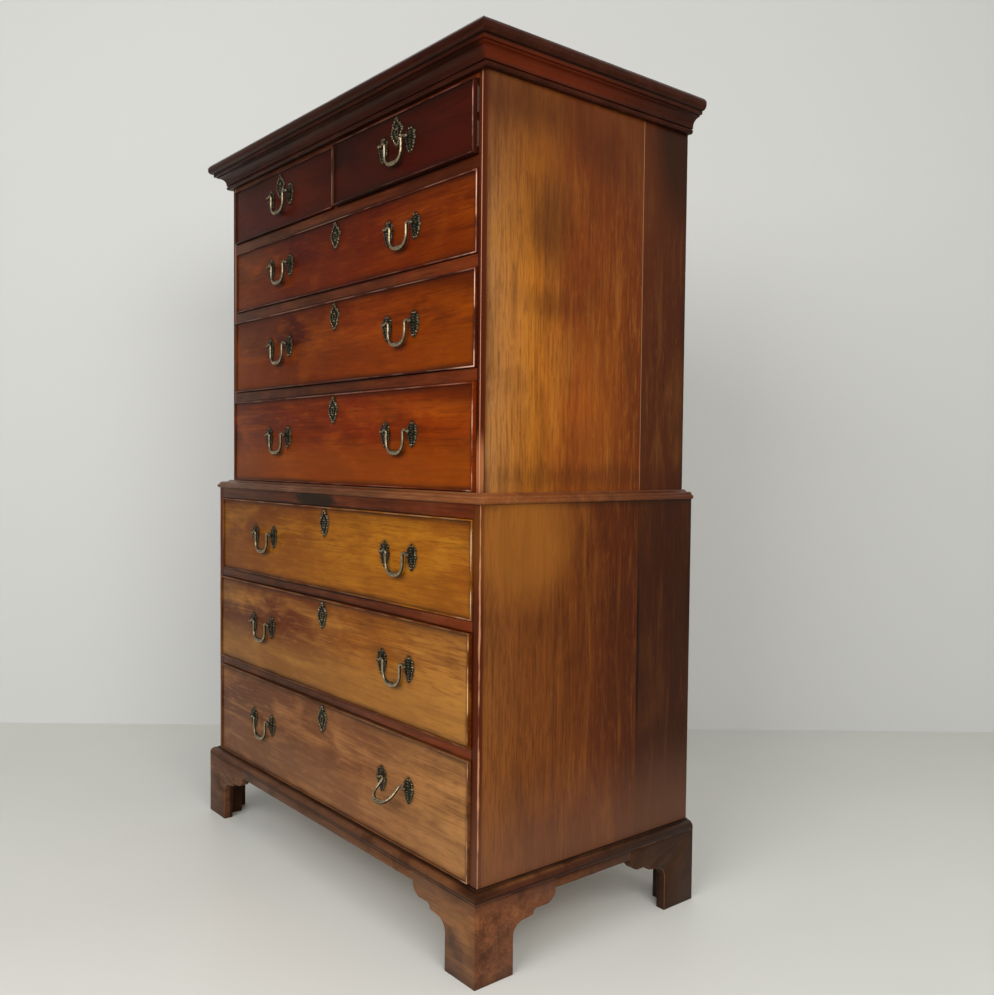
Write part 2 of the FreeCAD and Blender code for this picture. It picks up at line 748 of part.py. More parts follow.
def rear_bracket(label, hand):
    """The plain back bracket of a rear foot, against the inside of the side bracket."""
    body = new_body(label)
    path = [(ZERO, ZERO), (S["rear_bracket_foot"] * hand, ZERO),
            (S["rear_bracket"] * hand, S["foot_height"]), (ZERO, S["foot_height"])]
    pad(body, draw(new_sketch(body, label + "_outline", "XZ_Plane"), path), S["rear_bracket_thick"])
    return body


def make_foot(name, side, back):
    hand = 1 if side == "right" else -1
    label = f"foot_{name}_{side}"
    outer = (LOWER.half + S["base_proud"]) * hand
    face = LOWER.front - S["base_proud"]
    quarter = about((0, 0, 1), 90 * hand)
    block = corner_block(label + "_block", hand, back)
    if back:
        side_piece = bracket(label + "_side", -hand, mitred=False)
        place(side_piece, outer, BACK, ZERO, quarter)
        inner = (LOWER.half + S["base_proud"] - S["bracket_thick"]) * hand
        back_piece = place(rear_bracket(label + "_back", -hand), inner, BACK)
        node(label, [side_piece, back_piece, block])
        return
    front_piece = place(bracket(label + "_front", -hand, mitred=True), outer, face)
    side_piece = place(bracket(label + "_side", hand, mitred=True), outer, face, ZERO, quarter)
    node(label, [front_piece, side_piece, block])


for place_name, is_back in (("front", False), ("rear", True)):
    for side_name in ("left", "right"):
        make_foot(place_name, side_name, is_back)


# ---------------------------------------------------------------- brasses
def polygon(sides, half, turn=0.5):
    """Corners of a regular polygon whose flats lie half its width from the middle."""
    corners = []
    for number in range(sides):
        angle = 2 * math.pi * (number + turn) / sides
        reach = half / math.cos(math.pi / sides)
        corners.append((reach * math.cos(angle), reach * math.sin(angle)))
    return corners


def shifted(points, u, v):
    return [(point[0] + u, point[1] + v) for point in points]


def bevel(body, label, pad_feature, axis, levels, size, far=None):
    """Bevel the edges of a prism's end faces: levels are the ends along the axis, far the reach along it."""
    doc.recompute()
    names = []
    for number, edge in enumerate(pad_feature.Shape.Edges, start=1):
        ends = [getattr(vertex.Point, axis) for vertex in edge.Vertexes]
        if any(all(abs(end - level.value) < 1e-6 for end in ends) for level in levels):
            names.append(f"Edge{number}")
    feature = body.newObject("PartDesign::Chamfer", label)
    feature.Base = (pad_feature, names)
    bind(feature, "Size", size)
    if far:
        feature.ChamferType = "Two distances"
        bind(feature, "Size2", far)
    return feature


def prism_between(body, label, sides, half, near, far):
    """A prism along -Y, from near to far in front of the drawer front."""
    sketch = draw(new_sketch(body, label, "XZ_Plane", ("z", near)), polygon(sides, half))
    return pad(body, sketch, far - near)


def make_post():
    """A six-sided post: bevelled head bored for the pivot, neck, collar on the plate and square shank."""
    body = new_body("post_pattern")
    plate, reach, ball = S["plate_thick"], S["post_reach"], S["post_ball"]
    head = prism_between(body, "post_head", 6, ball, reach - ball, reach + ball)
    bevel(body, "post_head_bevels", head, "y", (ball - reach, -reach - ball), S["post_bevel"])
    prism_between(body, "post_neck", 6, S["post_neck"], plate, reach)
    prism_between(body, "post_collar", 6, S["post_collar"], plate, plate + S["post_step"])
    prism_between(body, "post_shank", 4, S["post_shank"], -S["front_thick"], plate)
    bore = new_sketch(body, "post_bore", "YZ_Plane")
    pierce(body, draw(bore, shifted(polygon(8, S["pivot"] + S["pivot_clear"]), -reach, ZERO)))
    return body


def make_backplate():
    """A leaf-shaped plate with a pointed top, two lobed shoulders and a pointed foot."""
    body = new_body("backplate_pattern")
    half, rise, fall = S["plate_half"], S["plate_rise"], S["plate_fall"]
    right = [(half * 0.32, rise * 0.72), (half * 0.85, rise * 0.52), (half * 0.68, rise * 0.08),
             (half, -fall * 0.16), (half * 0.72, -fall * 0.48), (half * 0.5, -fall * 0.74)]
    outline = [(ZERO, rise)] + [(-u, v) for u, v in right] + [(ZERO, -fall)]
    outline += list(reversed(right))
    sketch = draw(new_sketch(body, "backplate_outline", "XZ_Plane"), outline)
    draw(sketch, polygon(4, S["post_shank"] + S["hole_clear"]))
    pad(body, sketch, S["plate_thick"])
    return body


def make_escutcheon():
    """A long lozenge-shaped plate with lobed edges, a finial at each end and a keyhole."""
    body = new_body("escutcheon_pattern")
    half, rise = S["escutcheon_half"], S["escutcheon_rise"]
    right = [(half * 0.28, rise * 0.78), (half * 0.62, rise * 0.66), (half * 0.6, rise * 0.42),
             (half, rise * 0.1), (half * 0.92, -rise * 0.2), (half * 0.56, -rise * 0.42),
             (half * 0.62, -rise * 0.62), (half * 0.26, -rise * 0.78)]
    outline = [(ZERO, rise)] + [(-u, v) for u, v in right] + [(ZERO, -rise)] + list(reversed(right))
    sketch = draw(new_sketch(body, "escutcheon_outline", "XZ_Plane"), outline)
    pad(body, sketch, S["plate_thick"])
    slot = S["key_slot"] / 2
    shoulder = root(S["keyhole_radius"] * S["keyhole_radius"] - slot * slot)
    keyhole = new_sketch(body, "escutcheon_keyhole", "XZ_Plane")
    draw(keyhole, keyhole_path(slot, shoulder))
    pierce(body, keyhole)
    return body


def keyhole_path(slot, shoulder):
    """A hole over a slot, as one outline: five sides of the hole between the slot's shoulders."""
    top, flank = S["keyhole_radius"], S["keyhole_radius"] * 0.7
    return [
        (slot, -S["key_slot_length"]),
        (slot, -shoulder),
        (top, ZERO),
        (flank, flank),
        (-flank, flank),
        (-top, ZERO),
        (-slot, -shoulder),
        (-slot, -S["key_slot_length"]),
    ]


def bend_points(u, v, radius, degrees):
    """Points of a bend about (u, v)."""
    return [(u + radius * math.cos(math.radians(angle)), v + radius * math.sin(math.radians(angle)))
            for angle in degrees]


def make_bail():
    """A six-sided swan-neck bail that hangs from its pivot line, the X axis."""
    body = new_body("bail_pattern")
    half, neck, drop, corner = S["bail_half"], S["bail_neck"], S["bail_drop"], S["bail_corner"]
    reach, swell = S["bail_swell_length"] / 2, S["bail_swell"]
    middle = new_sketch(body, "bail_swelling_section", "YZ_Plane", ("z", -reach))
    swelling = pad(body, draw(middle, shifted(polygon(6, swell), ZERO, -drop)), reach * 2)
    bevel(body, "bail_swelling_tapers", swelling, "x", (-reach, reach), S["bail_swell_taper"],
          swell - S["bail_wire"])
    end = S["post_spacing"] / 2 - S["post_ball"] - S["bail_clear"]
    right = [(end, ZERO)] + bend_points(half + neck, -neck, neck, (90, 135, 180))
    right += bend_points(half - corner, corner - drop, corner, (0, -45, -90))
    left = [(-u, v) for u, v in reversed(right)]
    line = draw(new_sketch(body, "bail_line", "XZ_Plane"), right + left, closed=False)
    ring = draw(new_sketch(body, "bail_ring", "YZ_Plane", ("z", end)), polygon(6, S["bail_wire"]))
    pipe = body.newObject("PartDesign::AdditivePipe", "bail_pipe")
    pipe.Profile = ring
    pipe.Spine = line
    pipe.Transition = "Right corner"
    doc.recompute()
    inside = S["bail_clear"]
    pivot = draw_circle(new_sketch(body, "bail_pivot", "YZ_Plane", ("z", end - inside)), ZERO, ZERO,
                        S["pivot"])
    pin = pad(body, pivot, S["post_ball"] * 2 + inside)
    other_pin = body.newObject("PartDesign::Mirrored", "bail_other_pin")
    other_pin.Originals = [pin]
    mirror = next(feature for feature in body.Origin.OriginFeatures if feature.Role == "YZ_Plane")
    other_pin.MirrorPlane = (mirror, [""])
    body.Tip = other_pin
    return body


POST = make_post()
BACKPLATE = make_backplate()
ESCUTCHEON = make_escutcheon()
BAIL = make_bail()


# ---------------------------------------------------------------- drawers
class Front:
    """The place of one drawer: its ends, lower edge, height and face, as far open as it stands."""

    def __init__(self, name, case, x0, x1, edge, height, handles, rise, ajar):
        self.name = name
        self.case = case
        self.x0 = x0
        self.x1 = x1
        self.z0 = edge
        self.z1 = edge + height
        self.height = height
        self.face = case.front - ajar
        self.inside = self.face + S["front_thick"]
        self.handles = handles
        self.post_level = edge + height / 2 + rise
        self.middle = (x0 + x1) / 2
        self.key_level = self.z1 - S["escutcheon_drop"]
        self.tail_end = case.back_inside - S["box_room"] - ajar
        self.side_top = self.z1 - S["side_drop"]
        self.side_foot = edge - S["rail_gap"] + S["run_clear"]


def cockbeads(front):
    """Four mitred strips round the front, bevelled along their noses."""
    thick = S["bead_thick"]
    y0, y1 = front.face - S["bead_proud"], front.face + S["bead_depth"]
    depth = y1 - y0
    width, height = front.x1 - front.x0, front.z1 - front.z0
    strips = []
    turns = (("bottom", front.x0, front.z0, width, 0), ("right", front.x1, front.z0, height, -90),
             ("top", front.x1, front.z1, width, 180), ("left", front.x0, front.z1, height, 90))
    for name, x, z, length, angle in turns:
        label = f"{front.name}_bead_{name}"
        body = new_body(label)
        outline = [(ZERO, ZERO), (length, ZERO), (length - thick, thick), (thick, thick)]
        strip = pad(body, draw(new_sketch(body, label + "_outline", "XZ_Plane"), outline), depth)
        doc.recompute()
        nose = body.newObject("PartDesign::Chamfer", label + "_nose")
        nose.Base = (strip, front_edges(strip.Shape, -depth.value))
        bind(nose, "Size", S["bead_bevel"])
        strips.append(place(body, x, y1, z, about((0, 1, 0), angle)))
    return strips


def front_edges(shape, y):
    """Names of the two long edges of a cockbead that lie in its front plane."""
    names = []
    for number, edge in enumerate(shape.Edges, start=1):
        ends = [vertex.Point for vertex in edge.Vertexes]
        level = all(abs(point.y - y) < 1e-6 for point in ends)
        if level and abs(ends[0].z - ends[1].z) < 1e-6:
            names.append(f"Edge{number}")
    return names


def rebate_strips(front):
    """What the cockbead rebate takes from the drawer front, as four boards."""
    thick = S["bead_thick"]
    y0, y1 = front.face, front.face + S["bead_depth"]
    x0, x1, z0, z1 = front.x0, front.x1, front.z0, front.z1
    label = front.name + "_rebate"
    return [board(label + "_bottom", x0, x1, y0, y1, z0, z0 + thick),
            board(label + "_top", x0, x1, y0, y1, z1 - thick, z1),
            board(label + "_left", x0, x0 + thick, y0, y1, z0, z1),
            board(label + "_right", x1 - thick, x1, y0, y1, z0, z1)]


# half width of a tail at its root and at its tip, as shares of the pitch
TAIL_ROOT = 0.27
TAIL_TIP = 0.4


def dovetails(front, x0, x1, root_y, tip_y, low, high, label):
    """A row of tails on the end of a drawer side, wide at their tips."""
    count = max(2, round((high - low).value / S["tail_pitch"].value))
    pitch = (high - low) / count
    x = (x0, x1)
    tails = []
    for number in range(count):
        centre = low + pitch * (number + 0.5)
        narrow = (centre - pitch * TAIL_ROOT, centre + pitch * TAIL_ROOT)
        wide = (centre - pitch * TAIL_TIP, centre + pitch * TAIL_TIP)
        name = f"{label}_{number}"
        if tip_y.value < root_y.value:
            tails.append(taper(name, x, (tip_y, root_y), wide, x, narrow))
        else:
            tails.append(taper(name, x, (root_y, tip_y), narrow, x, wide))
    return tails


def handle_places(front):
    """Centres of the handles of one drawer: left and right, or one in the middle."""
    if front.handles is None:
        return [("", front.middle)]
    return [("_left", -front.handles), ("_right", Size.of(front.handles))]


def post_places(centre):
    half = S["post_spacing"] / 2
    return [("a", centre - half), ("b", centre + half)]


def make_drawer(front):
    """One drawer: the front with its cockbeads, the dovetailed box and the brasses."""
    name = front.name
    x0, x1, side = front.x0, front.x1, S["box_side"]
    bottom0 = front.z0 + S["bottom_lift"]
    bottom1 = bottom0 + S["box_bottom"]
    back_face = front.tail_end - S["box_back"]
    groove = S["bottom_groove"]
    bottom = board(name + "_bottom", x0 + side - groove, x1 - side + groove, front.inside - groove,
                   front.tail_end, bottom0, bottom1)
    sides, front_tails, back_tails = [], [], []
    for hand, (a, b) in (("left", (x0, x0 + side)), ("right", (x1 - side, x1))):
        label = f"{name}_side_{hand}"
        front_row = dovetails(front, a, b, front.inside, front.inside - S["tail_length"],
                              front.z0 + groove, front.side_top, label + "_front_tail")
        back_row = dovetails(front, a, b, back_face, front.tail_end, bottom1,
                             front.side_top - S["back_drop"], label + "_back_tail")
        plank = board(label + "_plank", a, b, front.inside, back_face, front.side_foot, front.side_top)
        tailed = fused(label + "_tailed", [plank] + front_row + back_row)
        sides.append(cut(label, tailed, [bottom]))
        front_tails += front_row
        back_tails += back_row
    back_blank = board(name + "_back_blank", x0, x1, back_face, front.tail_end, bottom1,
                       front.side_top - S["back_drop"])
    back = cut(name + "_back", back_blank, back_tails)
    node(name + "_box", sides + [back, bottom])

    key_x, key_z, wide = front.middle, front.key_level, S["keyhole_radius"] + S["key_room"]
    lock = board(name + "_lock", key_x - S["lock_width"] / 2, key_x + S["lock_width"] / 2,
                 front.inside - S["lock_thick"], front.inside, front.z1 - S["lock_height"], front.z1)
    openings = [lock, board(name + "_keyway", key_x - wide, key_x + wide, front.face, front.inside,
                            key_z - S["key_slot_length"] - S["key_room"], key_z + wide)]
    brasses = [lock, copy_of(ESCUTCHEON, name + "_escutcheon", key_x, front.face, key_z)]
    hole = S["post_shank"] + S["hole_clear"]
    level = front.post_level
    for handle, centre in handle_places(front):
        for end, x in post_places(centre):
            label = f"{name}{handle}_{end}"
            openings.append(board(label + "_hole", x - hole, x + hole, front.face, front.inside,
                                  level - hole, level + hole))
            brasses.append(copy_of(BACKPLATE, label + "_plate", x, front.face, level))
            brasses.append(copy_of(POST, label + "_post", x, front.face, level))
            half = S["nut_width"] / 2
            brasses.append(board(label + "_nut", x - half, x + half, front.inside,
                                 front.inside + S["nut_thick"], level - half, level + half))
        turned = name + handle in RAISED
        turn = about((-1, 0, 0), S["raised_angle"].value) if turned else Rotation()
        pivot_y = front.face - S["post_reach"]
        bail = copy_of(BAIL, f"{name}{handle}_bail_copy", centre, pivot_y, level, turn)
        nodes[f"{name}_bail{handle}"] = group(f"{name}_bail{handle}", [bail])
    blank = board(name + "_front_blank", x0, x1, front.face, front.inside, front.z0, front.z1)
    face = cut(name + "_front_board", blank, rebate_strips(front) + front_tails + [bottom] + openings)
    node(name + "_front", [face] + cockbeads(front))
    node(name + "_brasses", brasses)


RAISED = {"drawer_7_right"}


def long_fronts(case, edges, heights, numbers_down, handles):
    """The long drawers of one case."""
    end = case.inside - S["side_gap"]
    return [Front(f"drawer_{number}", case, -end, end, edge, height, handles, S["handle_rise"],
                  S[f"ajar_{number}"])
            for number, edge, height in zip(numbers_down, edges, heights)]


FRONTS = long_fronts(LOWER, LOWER_EDGES, LOWER_ROWS, (7, 6, 5), S["lower_handle"])
FRONTS += long_fronts(UPPER, UPPER_EDGES, UPPER_ROWS[:3], (4, 3, 2), S["upper_handle"])
near = S["muntin"] / 2 + S["side_gap"]
far = UPPER.inside - S["side_gap"]
for short_name, first, last in (("left", -far, -near), ("right", near, far)):
    FRONTS.append(Front(f"short_drawer_{short_name}", UPPER, first, last, UPPER_EDGES[-1], S["row_1"],
                        None, S["short_handle_rise"], S[f"ajar_{short_name}"]))
for drawer_front in FRONTS:
    make_drawer(drawer_front)


# ---------------------------------------------------------------- check and write
doc.recompute()
for thing in doc.Objects:
    if "Invalid" in thing.State or "Error" in thing.State:
        raise RuntimeError(f"{thing.Label} failed to build")

os.makedirs("parts", exist_ok=True)
overall = FreeCAD.BoundBox()
for label, thing in sorted(nodes.items()):
    if thing.Shape.isNull() or not thing.Shape.isValid():
        raise RuntimeError(f"{label} has no valid shape")
    overall.add(thing.Shape.BoundBox)
    thing.Shape.exportStep(f"parts/{label}.step")
print(f"{len(nodes)} sub-parts")
print(f"overall {overall.XLength:.1f} x {overall.YLength:.1f} x {overall.ZLength:.1f} mm")
print(f"y from {overall.YMin:.2f} to {overall.YMax:.2f} mm")
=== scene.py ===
# %% [markdown]
# A chest on chest is two chests of drawers, one standing on the other. The carcass, the drawers
# and the joints come from the CAD model, which loads first as a fixed frame in metres: Z is up, the
# drawers open towards -Y, and +X is the right end seen from the front. This script gives the
# frame its finish, and replaces the parts whose shape is too fine for the CAD model.

# %% Load the frame
import json
import math

import bmesh
import bpy
import numpy as np
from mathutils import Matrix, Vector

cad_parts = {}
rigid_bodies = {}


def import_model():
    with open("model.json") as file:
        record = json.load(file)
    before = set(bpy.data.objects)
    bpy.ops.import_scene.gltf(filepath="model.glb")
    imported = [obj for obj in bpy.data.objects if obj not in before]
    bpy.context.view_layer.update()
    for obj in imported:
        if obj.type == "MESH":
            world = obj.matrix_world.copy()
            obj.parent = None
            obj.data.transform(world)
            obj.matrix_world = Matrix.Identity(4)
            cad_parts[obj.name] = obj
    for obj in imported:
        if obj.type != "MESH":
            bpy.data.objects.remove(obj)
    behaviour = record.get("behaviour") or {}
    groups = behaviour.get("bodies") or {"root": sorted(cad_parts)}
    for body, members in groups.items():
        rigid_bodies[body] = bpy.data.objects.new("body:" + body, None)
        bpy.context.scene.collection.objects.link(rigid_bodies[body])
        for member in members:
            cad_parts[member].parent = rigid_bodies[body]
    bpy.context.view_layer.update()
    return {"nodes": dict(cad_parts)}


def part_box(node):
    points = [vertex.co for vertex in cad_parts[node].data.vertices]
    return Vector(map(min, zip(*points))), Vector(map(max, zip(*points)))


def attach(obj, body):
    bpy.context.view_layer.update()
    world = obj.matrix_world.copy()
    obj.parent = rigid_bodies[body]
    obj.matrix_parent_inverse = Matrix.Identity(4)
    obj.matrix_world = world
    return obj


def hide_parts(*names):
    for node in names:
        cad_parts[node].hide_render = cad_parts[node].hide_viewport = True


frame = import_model()

# %% [markdown]
# The camera stands to the right of the chest, at about the height of its middle. Blender's camera
# looks along its own -Z, so the object's matrix is made of three columns: right, up, and the
# reverse of the way it looks. Building the matrix from the angles keeps the small roll of a
# hand-held camera, which aiming with a constraint would lose.

# %% The camera
def camera_axes(yaw, pitch, roll):
    """Right, up and forward of a camera. Forward is +Y turned by yaw towards -X and lowered by pitch;
    roll then turns right and up about it."""
    a, e, r = np.radians([yaw, pitch, roll])
    forward = np.array([-np.sin(a) * np.cos(e), np.cos(a) * np.cos(e), -np.sin(e)])
    right = np.cross(forward, [0, 0, 1])
    right /= np.linalg.norm(right)
    up = np.cross(right, forward)
    return np.cos(r) * right + np.sin(r) * up, np.cos(r) * up - np.sin(r) * right, forward


def new_object(name, data):
    """An object in the scene, at the origin until it is moved."""
    made = bpy.data.objects.new(name, data)
    bpy.context.scene.collection.objects.link(made)
    return made


def placed(right, up, back, place):
    """An object's matrix from its three axes and its place, one to a column."""
    matrix = np.eye(4)
    matrix[:, :3] = [right, up, back, place]
    return matrix.tolist()


EYE = np.array([1.933, -1.356, 0.957])
SENSOR = 36.0                               # its width in millimetres
FOCAL, LONG_SIDE = 978.1, 995               # the lens and the image's long side, both in pixels
right, up, forward = camera_axes(yaw=50.6, pitch=2.24, roll=0.56)
camera = new_object("camera", bpy.data.cameras.new("camera"))
camera.matrix_world = placed(right, up, -forward, EYE)
camera.data.sensor_width = SENSOR
camera.data.lens = SENSOR * FOCAL / LONG_SIDE
bpy.context.scene.camera = camera
print("lens, mm:", round(camera.data.lens, 2))

# %% [markdown]
# Every new shape below is a grid of points: rows along the piece and columns round its section.
# numpy works out all the points at once, and one function turns any grid into a mesh. Where a
# grid closes on itself or shrinks to a point, its doubled points are merged, and then the
# normals are turned outwards.

# %% From a grid of points to a piece
def mesh_from_grid(name, points, close_rows=False, close_columns=False, caps=False, marks=None, smooth=35):
    """Quads between neighbours of a (rows, columns, 3) grid. marks are named values per point."""
    rows, columns = points.shape[:2]
    index = np.arange(rows * columns).reshape(rows, columns)
    ends = [index[0].tolist(), index[-1][::-1].tolist()] if caps else []
    if close_rows:
        index = np.vstack([index, index[:1]])
    if close_columns:
        index = np.hstack([index, index[:, :1]])
    quads = np.stack([index[:-1, :-1], index[1:, :-1], index[1:, 1:], index[:-1, 1:]], axis=-1)
    mesh = bpy.data.meshes.new(name)
    mesh.from_pydata(points.reshape(-1, 3).tolist(), [], quads.reshape(-1, 4).tolist() + ends)
    for mark, values in (marks or {}).items():
        layer = mesh.attributes.new(mark, "FLOAT", "POINT")
        layer.data.foreach_set("value", np.broadcast_to(values, (rows, columns)).astype(np.float32).ravel())
    return tidied(mesh, smooth)


def smoothed(mesh, degrees):
    """Smooth shading, with the edges sharper than an angle left sharp."""
    mesh.polygons.foreach_set("use_smooth", np.ones(len(mesh.polygons), dtype=bool))
    mesh.set_sharp_from_angle(angle=math.radians(degrees))
    return mesh


def tidied(mesh, smooth=35):
    """Merge doubled points, drop faces without area, turn normals outwards, smooth below an angle."""
    shape = bmesh.new()
    shape.from_mesh(mesh)
    bmesh.ops.remove_doubles(shape, verts=shape.verts, dist=2e-6)
    bmesh.ops.dissolve_degenerate(shape, edges=shape.edges, dist=1e-6)
    bmesh.ops.recalc_face_normals(shape, faces=shape.faces)
    shape.to_mesh(mesh)
    shape.free()
    return smoothed(mesh, smooth)


def piece(mesh, body, material, stands_for=()):
    """An object at the origin that rides on a body of the frame and takes a finish."""
    made = new_object(mesh.name, mesh)
    made.data.materials.clear()
    made.data.materials.append(material)
    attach(made, body)
    if stands_for:
        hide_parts(*stands_for)
    return made


# %% [markdown]
# Materials are node trees. Colours are written as sRGB hex, as a colour picker shows them, and
# turned to the linear values that the renderer adds up. One small function adds any node with its
# settings and its links and returns its output, so that a recipe reads from top to bottom.

# %% Adding nodes
def linear(colour):
    """sRGB hex to linear RGBA: below 0.04045 divide by 12.92, above it ((c + 0.055) / 1.055) ** 2.4."""
    c = np.array([int(colour[i:i + 2], 16) / 255 for i in (1, 3, 5)])
    return (*np.where(c <= 0.04045, c / 12.92, ((c + 0.055) / 1.055) ** 2.4).tolist(), 1.0)


def feed(tree, node, inputs):
    """Give a node its inputs, by the sockets' names or numbers or in their order: an output, a number,
    a vector or a hex colour. None leaves a socket as it is."""
    for key, value in inputs.items() if isinstance(inputs, dict) else enumerate(inputs):
        if isinstance(value, bpy.types.NodeSocket):
            tree.links.new(value, node.inputs[key])
        elif value is not None:
            node.inputs[key].default_value = linear(value) if isinstance(value, str) else value


def add(tree, kind, inputs=(), output=0, stops=(), **settings):
    """Add a node and return one of its outputs; stops are a colour ramp's (position, colour) pairs."""
    node = tree.nodes.new("ShaderNode" + kind)
    for name, value in settings.items():
        setattr(node, name, value)
    if stops:
        while len(node.color_ramp.elements) < len(stops):
            node.color_ramp.elements.new(1.0)
        for element, (position, colour) in zip(node.color_ramp.elements, stops):
            element.position, element.color = position, linear(colour)
    feed(tree, node, inputs)
    return node.outputs[output]


def new_material(name):
    """An empty material, its tree, and the shader that takes the colour and the gloss."""
    material = bpy.data.materials.new(name)
    material.use_nodes = True
    shader = next(n for n in material.node_tree.nodes if n.type == "BSDF_PRINCIPLED")
    return material, material.node_tree, shader


def repaint(material, *names):
    """Give nodes of the frame a finish."""
    for name in names:
        frame["nodes"][name].data.materials.clear()
        frame["nodes"][name].data.materials.append(material)


# %% [markdown]
# The chest stands on a pale floor in front of a pale wall. The wall is one sheet behind the chest
# as the camera sees it; seen from its back it is clear, so other views pass through it. Two big
# soft lamps, one at the right and one at the front right, and the even light of the room give the
# plain level at which a colour renders about as it is written. The room is dim on the left,
# because that is what the polished drawer fronts reflect: a pale room there would lay a grey veil
# over their colour.

# %% Floor, wall and light
def flat_sheet(name, corners, material):
    """Four corners make one face, which is part of the stage."""
    mesh = bpy.data.meshes.new(name)
    mesh.from_pydata(corners, [], [(0, 1, 2, 3)])
    mesh.materials.append(material)
    new_object(name, mesh)


floor_paint, tree, shader = new_material("pale sheet flooring")
where = add(tree, "TexCoord", output="Object")
cloud = add(tree, "TexNoise", {"Vector": where, "Scale": 0.9, "Detail": 3.0})
paint = add(tree, "ValToRGB", (cloud,), stops=[(0.3, "#d4d4ce"), (0.7, "#dcdcd6")])
feed(tree, shader, {"Base Color": paint, "Roughness": 0.42, "Specular IOR Level": 0.35})

wall_paint, tree, shader = new_material("pale painted wall")
feed(tree, shader, {"Base Color": "#cdcdcb", "Roughness": 0.9})
behind = add(tree, "NewGeometry", output="Backfacing")
surface = add(tree, "MixShader", (behind, shader.outputs["BSDF"], add(tree, "BsdfTransparent")))
feed(tree, tree.nodes["Material Output"], {"Surface": surface})

FLOOR = 9                                   # metres from the middle to each edge
WALL_AWAY, WALL_LEFT, WALL_RIGHT = 3.46, 2.3, 7.0       # metres from the camera, and to either end
tall = np.array([0, 0, 5.0])
level_way = np.array([forward[0], forward[1], 0]) / np.hypot(forward[0], forward[1])
across = np.array([level_way[1], -level_way[0], 0])
foot = EYE * [1, 1, 0] + level_way * WALL_AWAY
left_end, right_end = foot - across * WALL_LEFT, foot + across * WALL_RIGHT
wall_corners = [left_end, right_end, right_end + tall, left_end + tall]
floor_corners = [(x * FLOOR, y * FLOOR, 0) for x, y in ((-1, -1), (1, -1), (1, 1), (-1, 1))]
flat_sheet("floor", floor_corners, floor_paint)
flat_sheet("wall", [corner.tolist() for corner in wall_corners], wall_paint)

WINDOW_WAY = (0.75, 0.2, 0.15)              # the way to the bright side of the room
world = bpy.data.worlds.new("room")
bpy.context.scene.world = world
world.use_nodes = True
tree = world.node_tree
where = add(tree, "TexCoord", output="Generated")
to_window = add(tree, "VectorMath", (where, WINDOW_WAY), output="Value", operation="DOT_PRODUCT")
share = add(tree, "MapRange", (to_window, -0.8, 0.8))
air = add(tree, "ValToRGB", (share,), stops=[(0.0, "#54565a"), (0.45, "#8a8b8a"), (1.0, "#d9d8d2")])
feed(tree, tree.nodes["Background"], {"Color": air, "Strength": 0.9})


def soft_lamp(name, place, aim, width, height, watts):
    """An area lamp that faces a point."""
    lamp = new_object(name, bpy.data.lights.new(name, "AREA"))
    lamp.data.shape = "RECTANGLE"
    lamp.data.size, lamp.data.size_y, lamp.data.energy = width, height, watts
    back = np.array(place) - np.array(aim)
    back /= np.linalg.norm(back)
    side = np.cross([0, 0, 1], back)
    side /= np.linalg.norm(side)
    lamp.matrix_world = placed(side, np.cross(back, side), back, place)


soft_lamp("window_light", place=(3.2, -1.2, 2.2), aim=(0, 0, 0.8), width=2.4, height=1.6, watts=75)
soft_lamp("room_light", place=(1.3, -3.5, 2.4), aim=(0, 0, 0.6), width=2.8, height=2.2, watts=105)
print("stage and", len(bpy.data.lights), "lamps")

# %% [markdown]
# The wood is old mahogany under French polish: many thin coats of shellac rubbed on, clear and
# glossy, which soften to a satin as they wear. Sawn mahogany shows ribbon figure, bands a few
# centimetres wide that run with the grain and waver, finer streaks of 2 to 5 mm, cloudy patches a
# hand wide, and open pores. The pores are about 0.2 mm wide, too fine to show, so they are drawn
# near 1.2 mm. Light and handling then changed each board slowly from end to end, so a board starts
# from a ramp of tones along it, and everything else is laid over that in turn, as the years did:
# figure, stains, dirt along the edges, and polish rubbed through to paler wood.
#
# All of it is worked out from Object coordinates, which stay fixed to the wood in metres. A
# pattern is a noise squeezed across the grain, so a number such as 26 per metre means bands
# of 1000 / 26 = 38 mm.

# %% A finish in layers
def evenly(tones, start=0.0, end=1.0):
    """Tones as a ramp's stops, evenly from start to end."""
    return [(start + i / (len(tones) - 1) * (end - start), tone) for i, tone in enumerate(tones)]


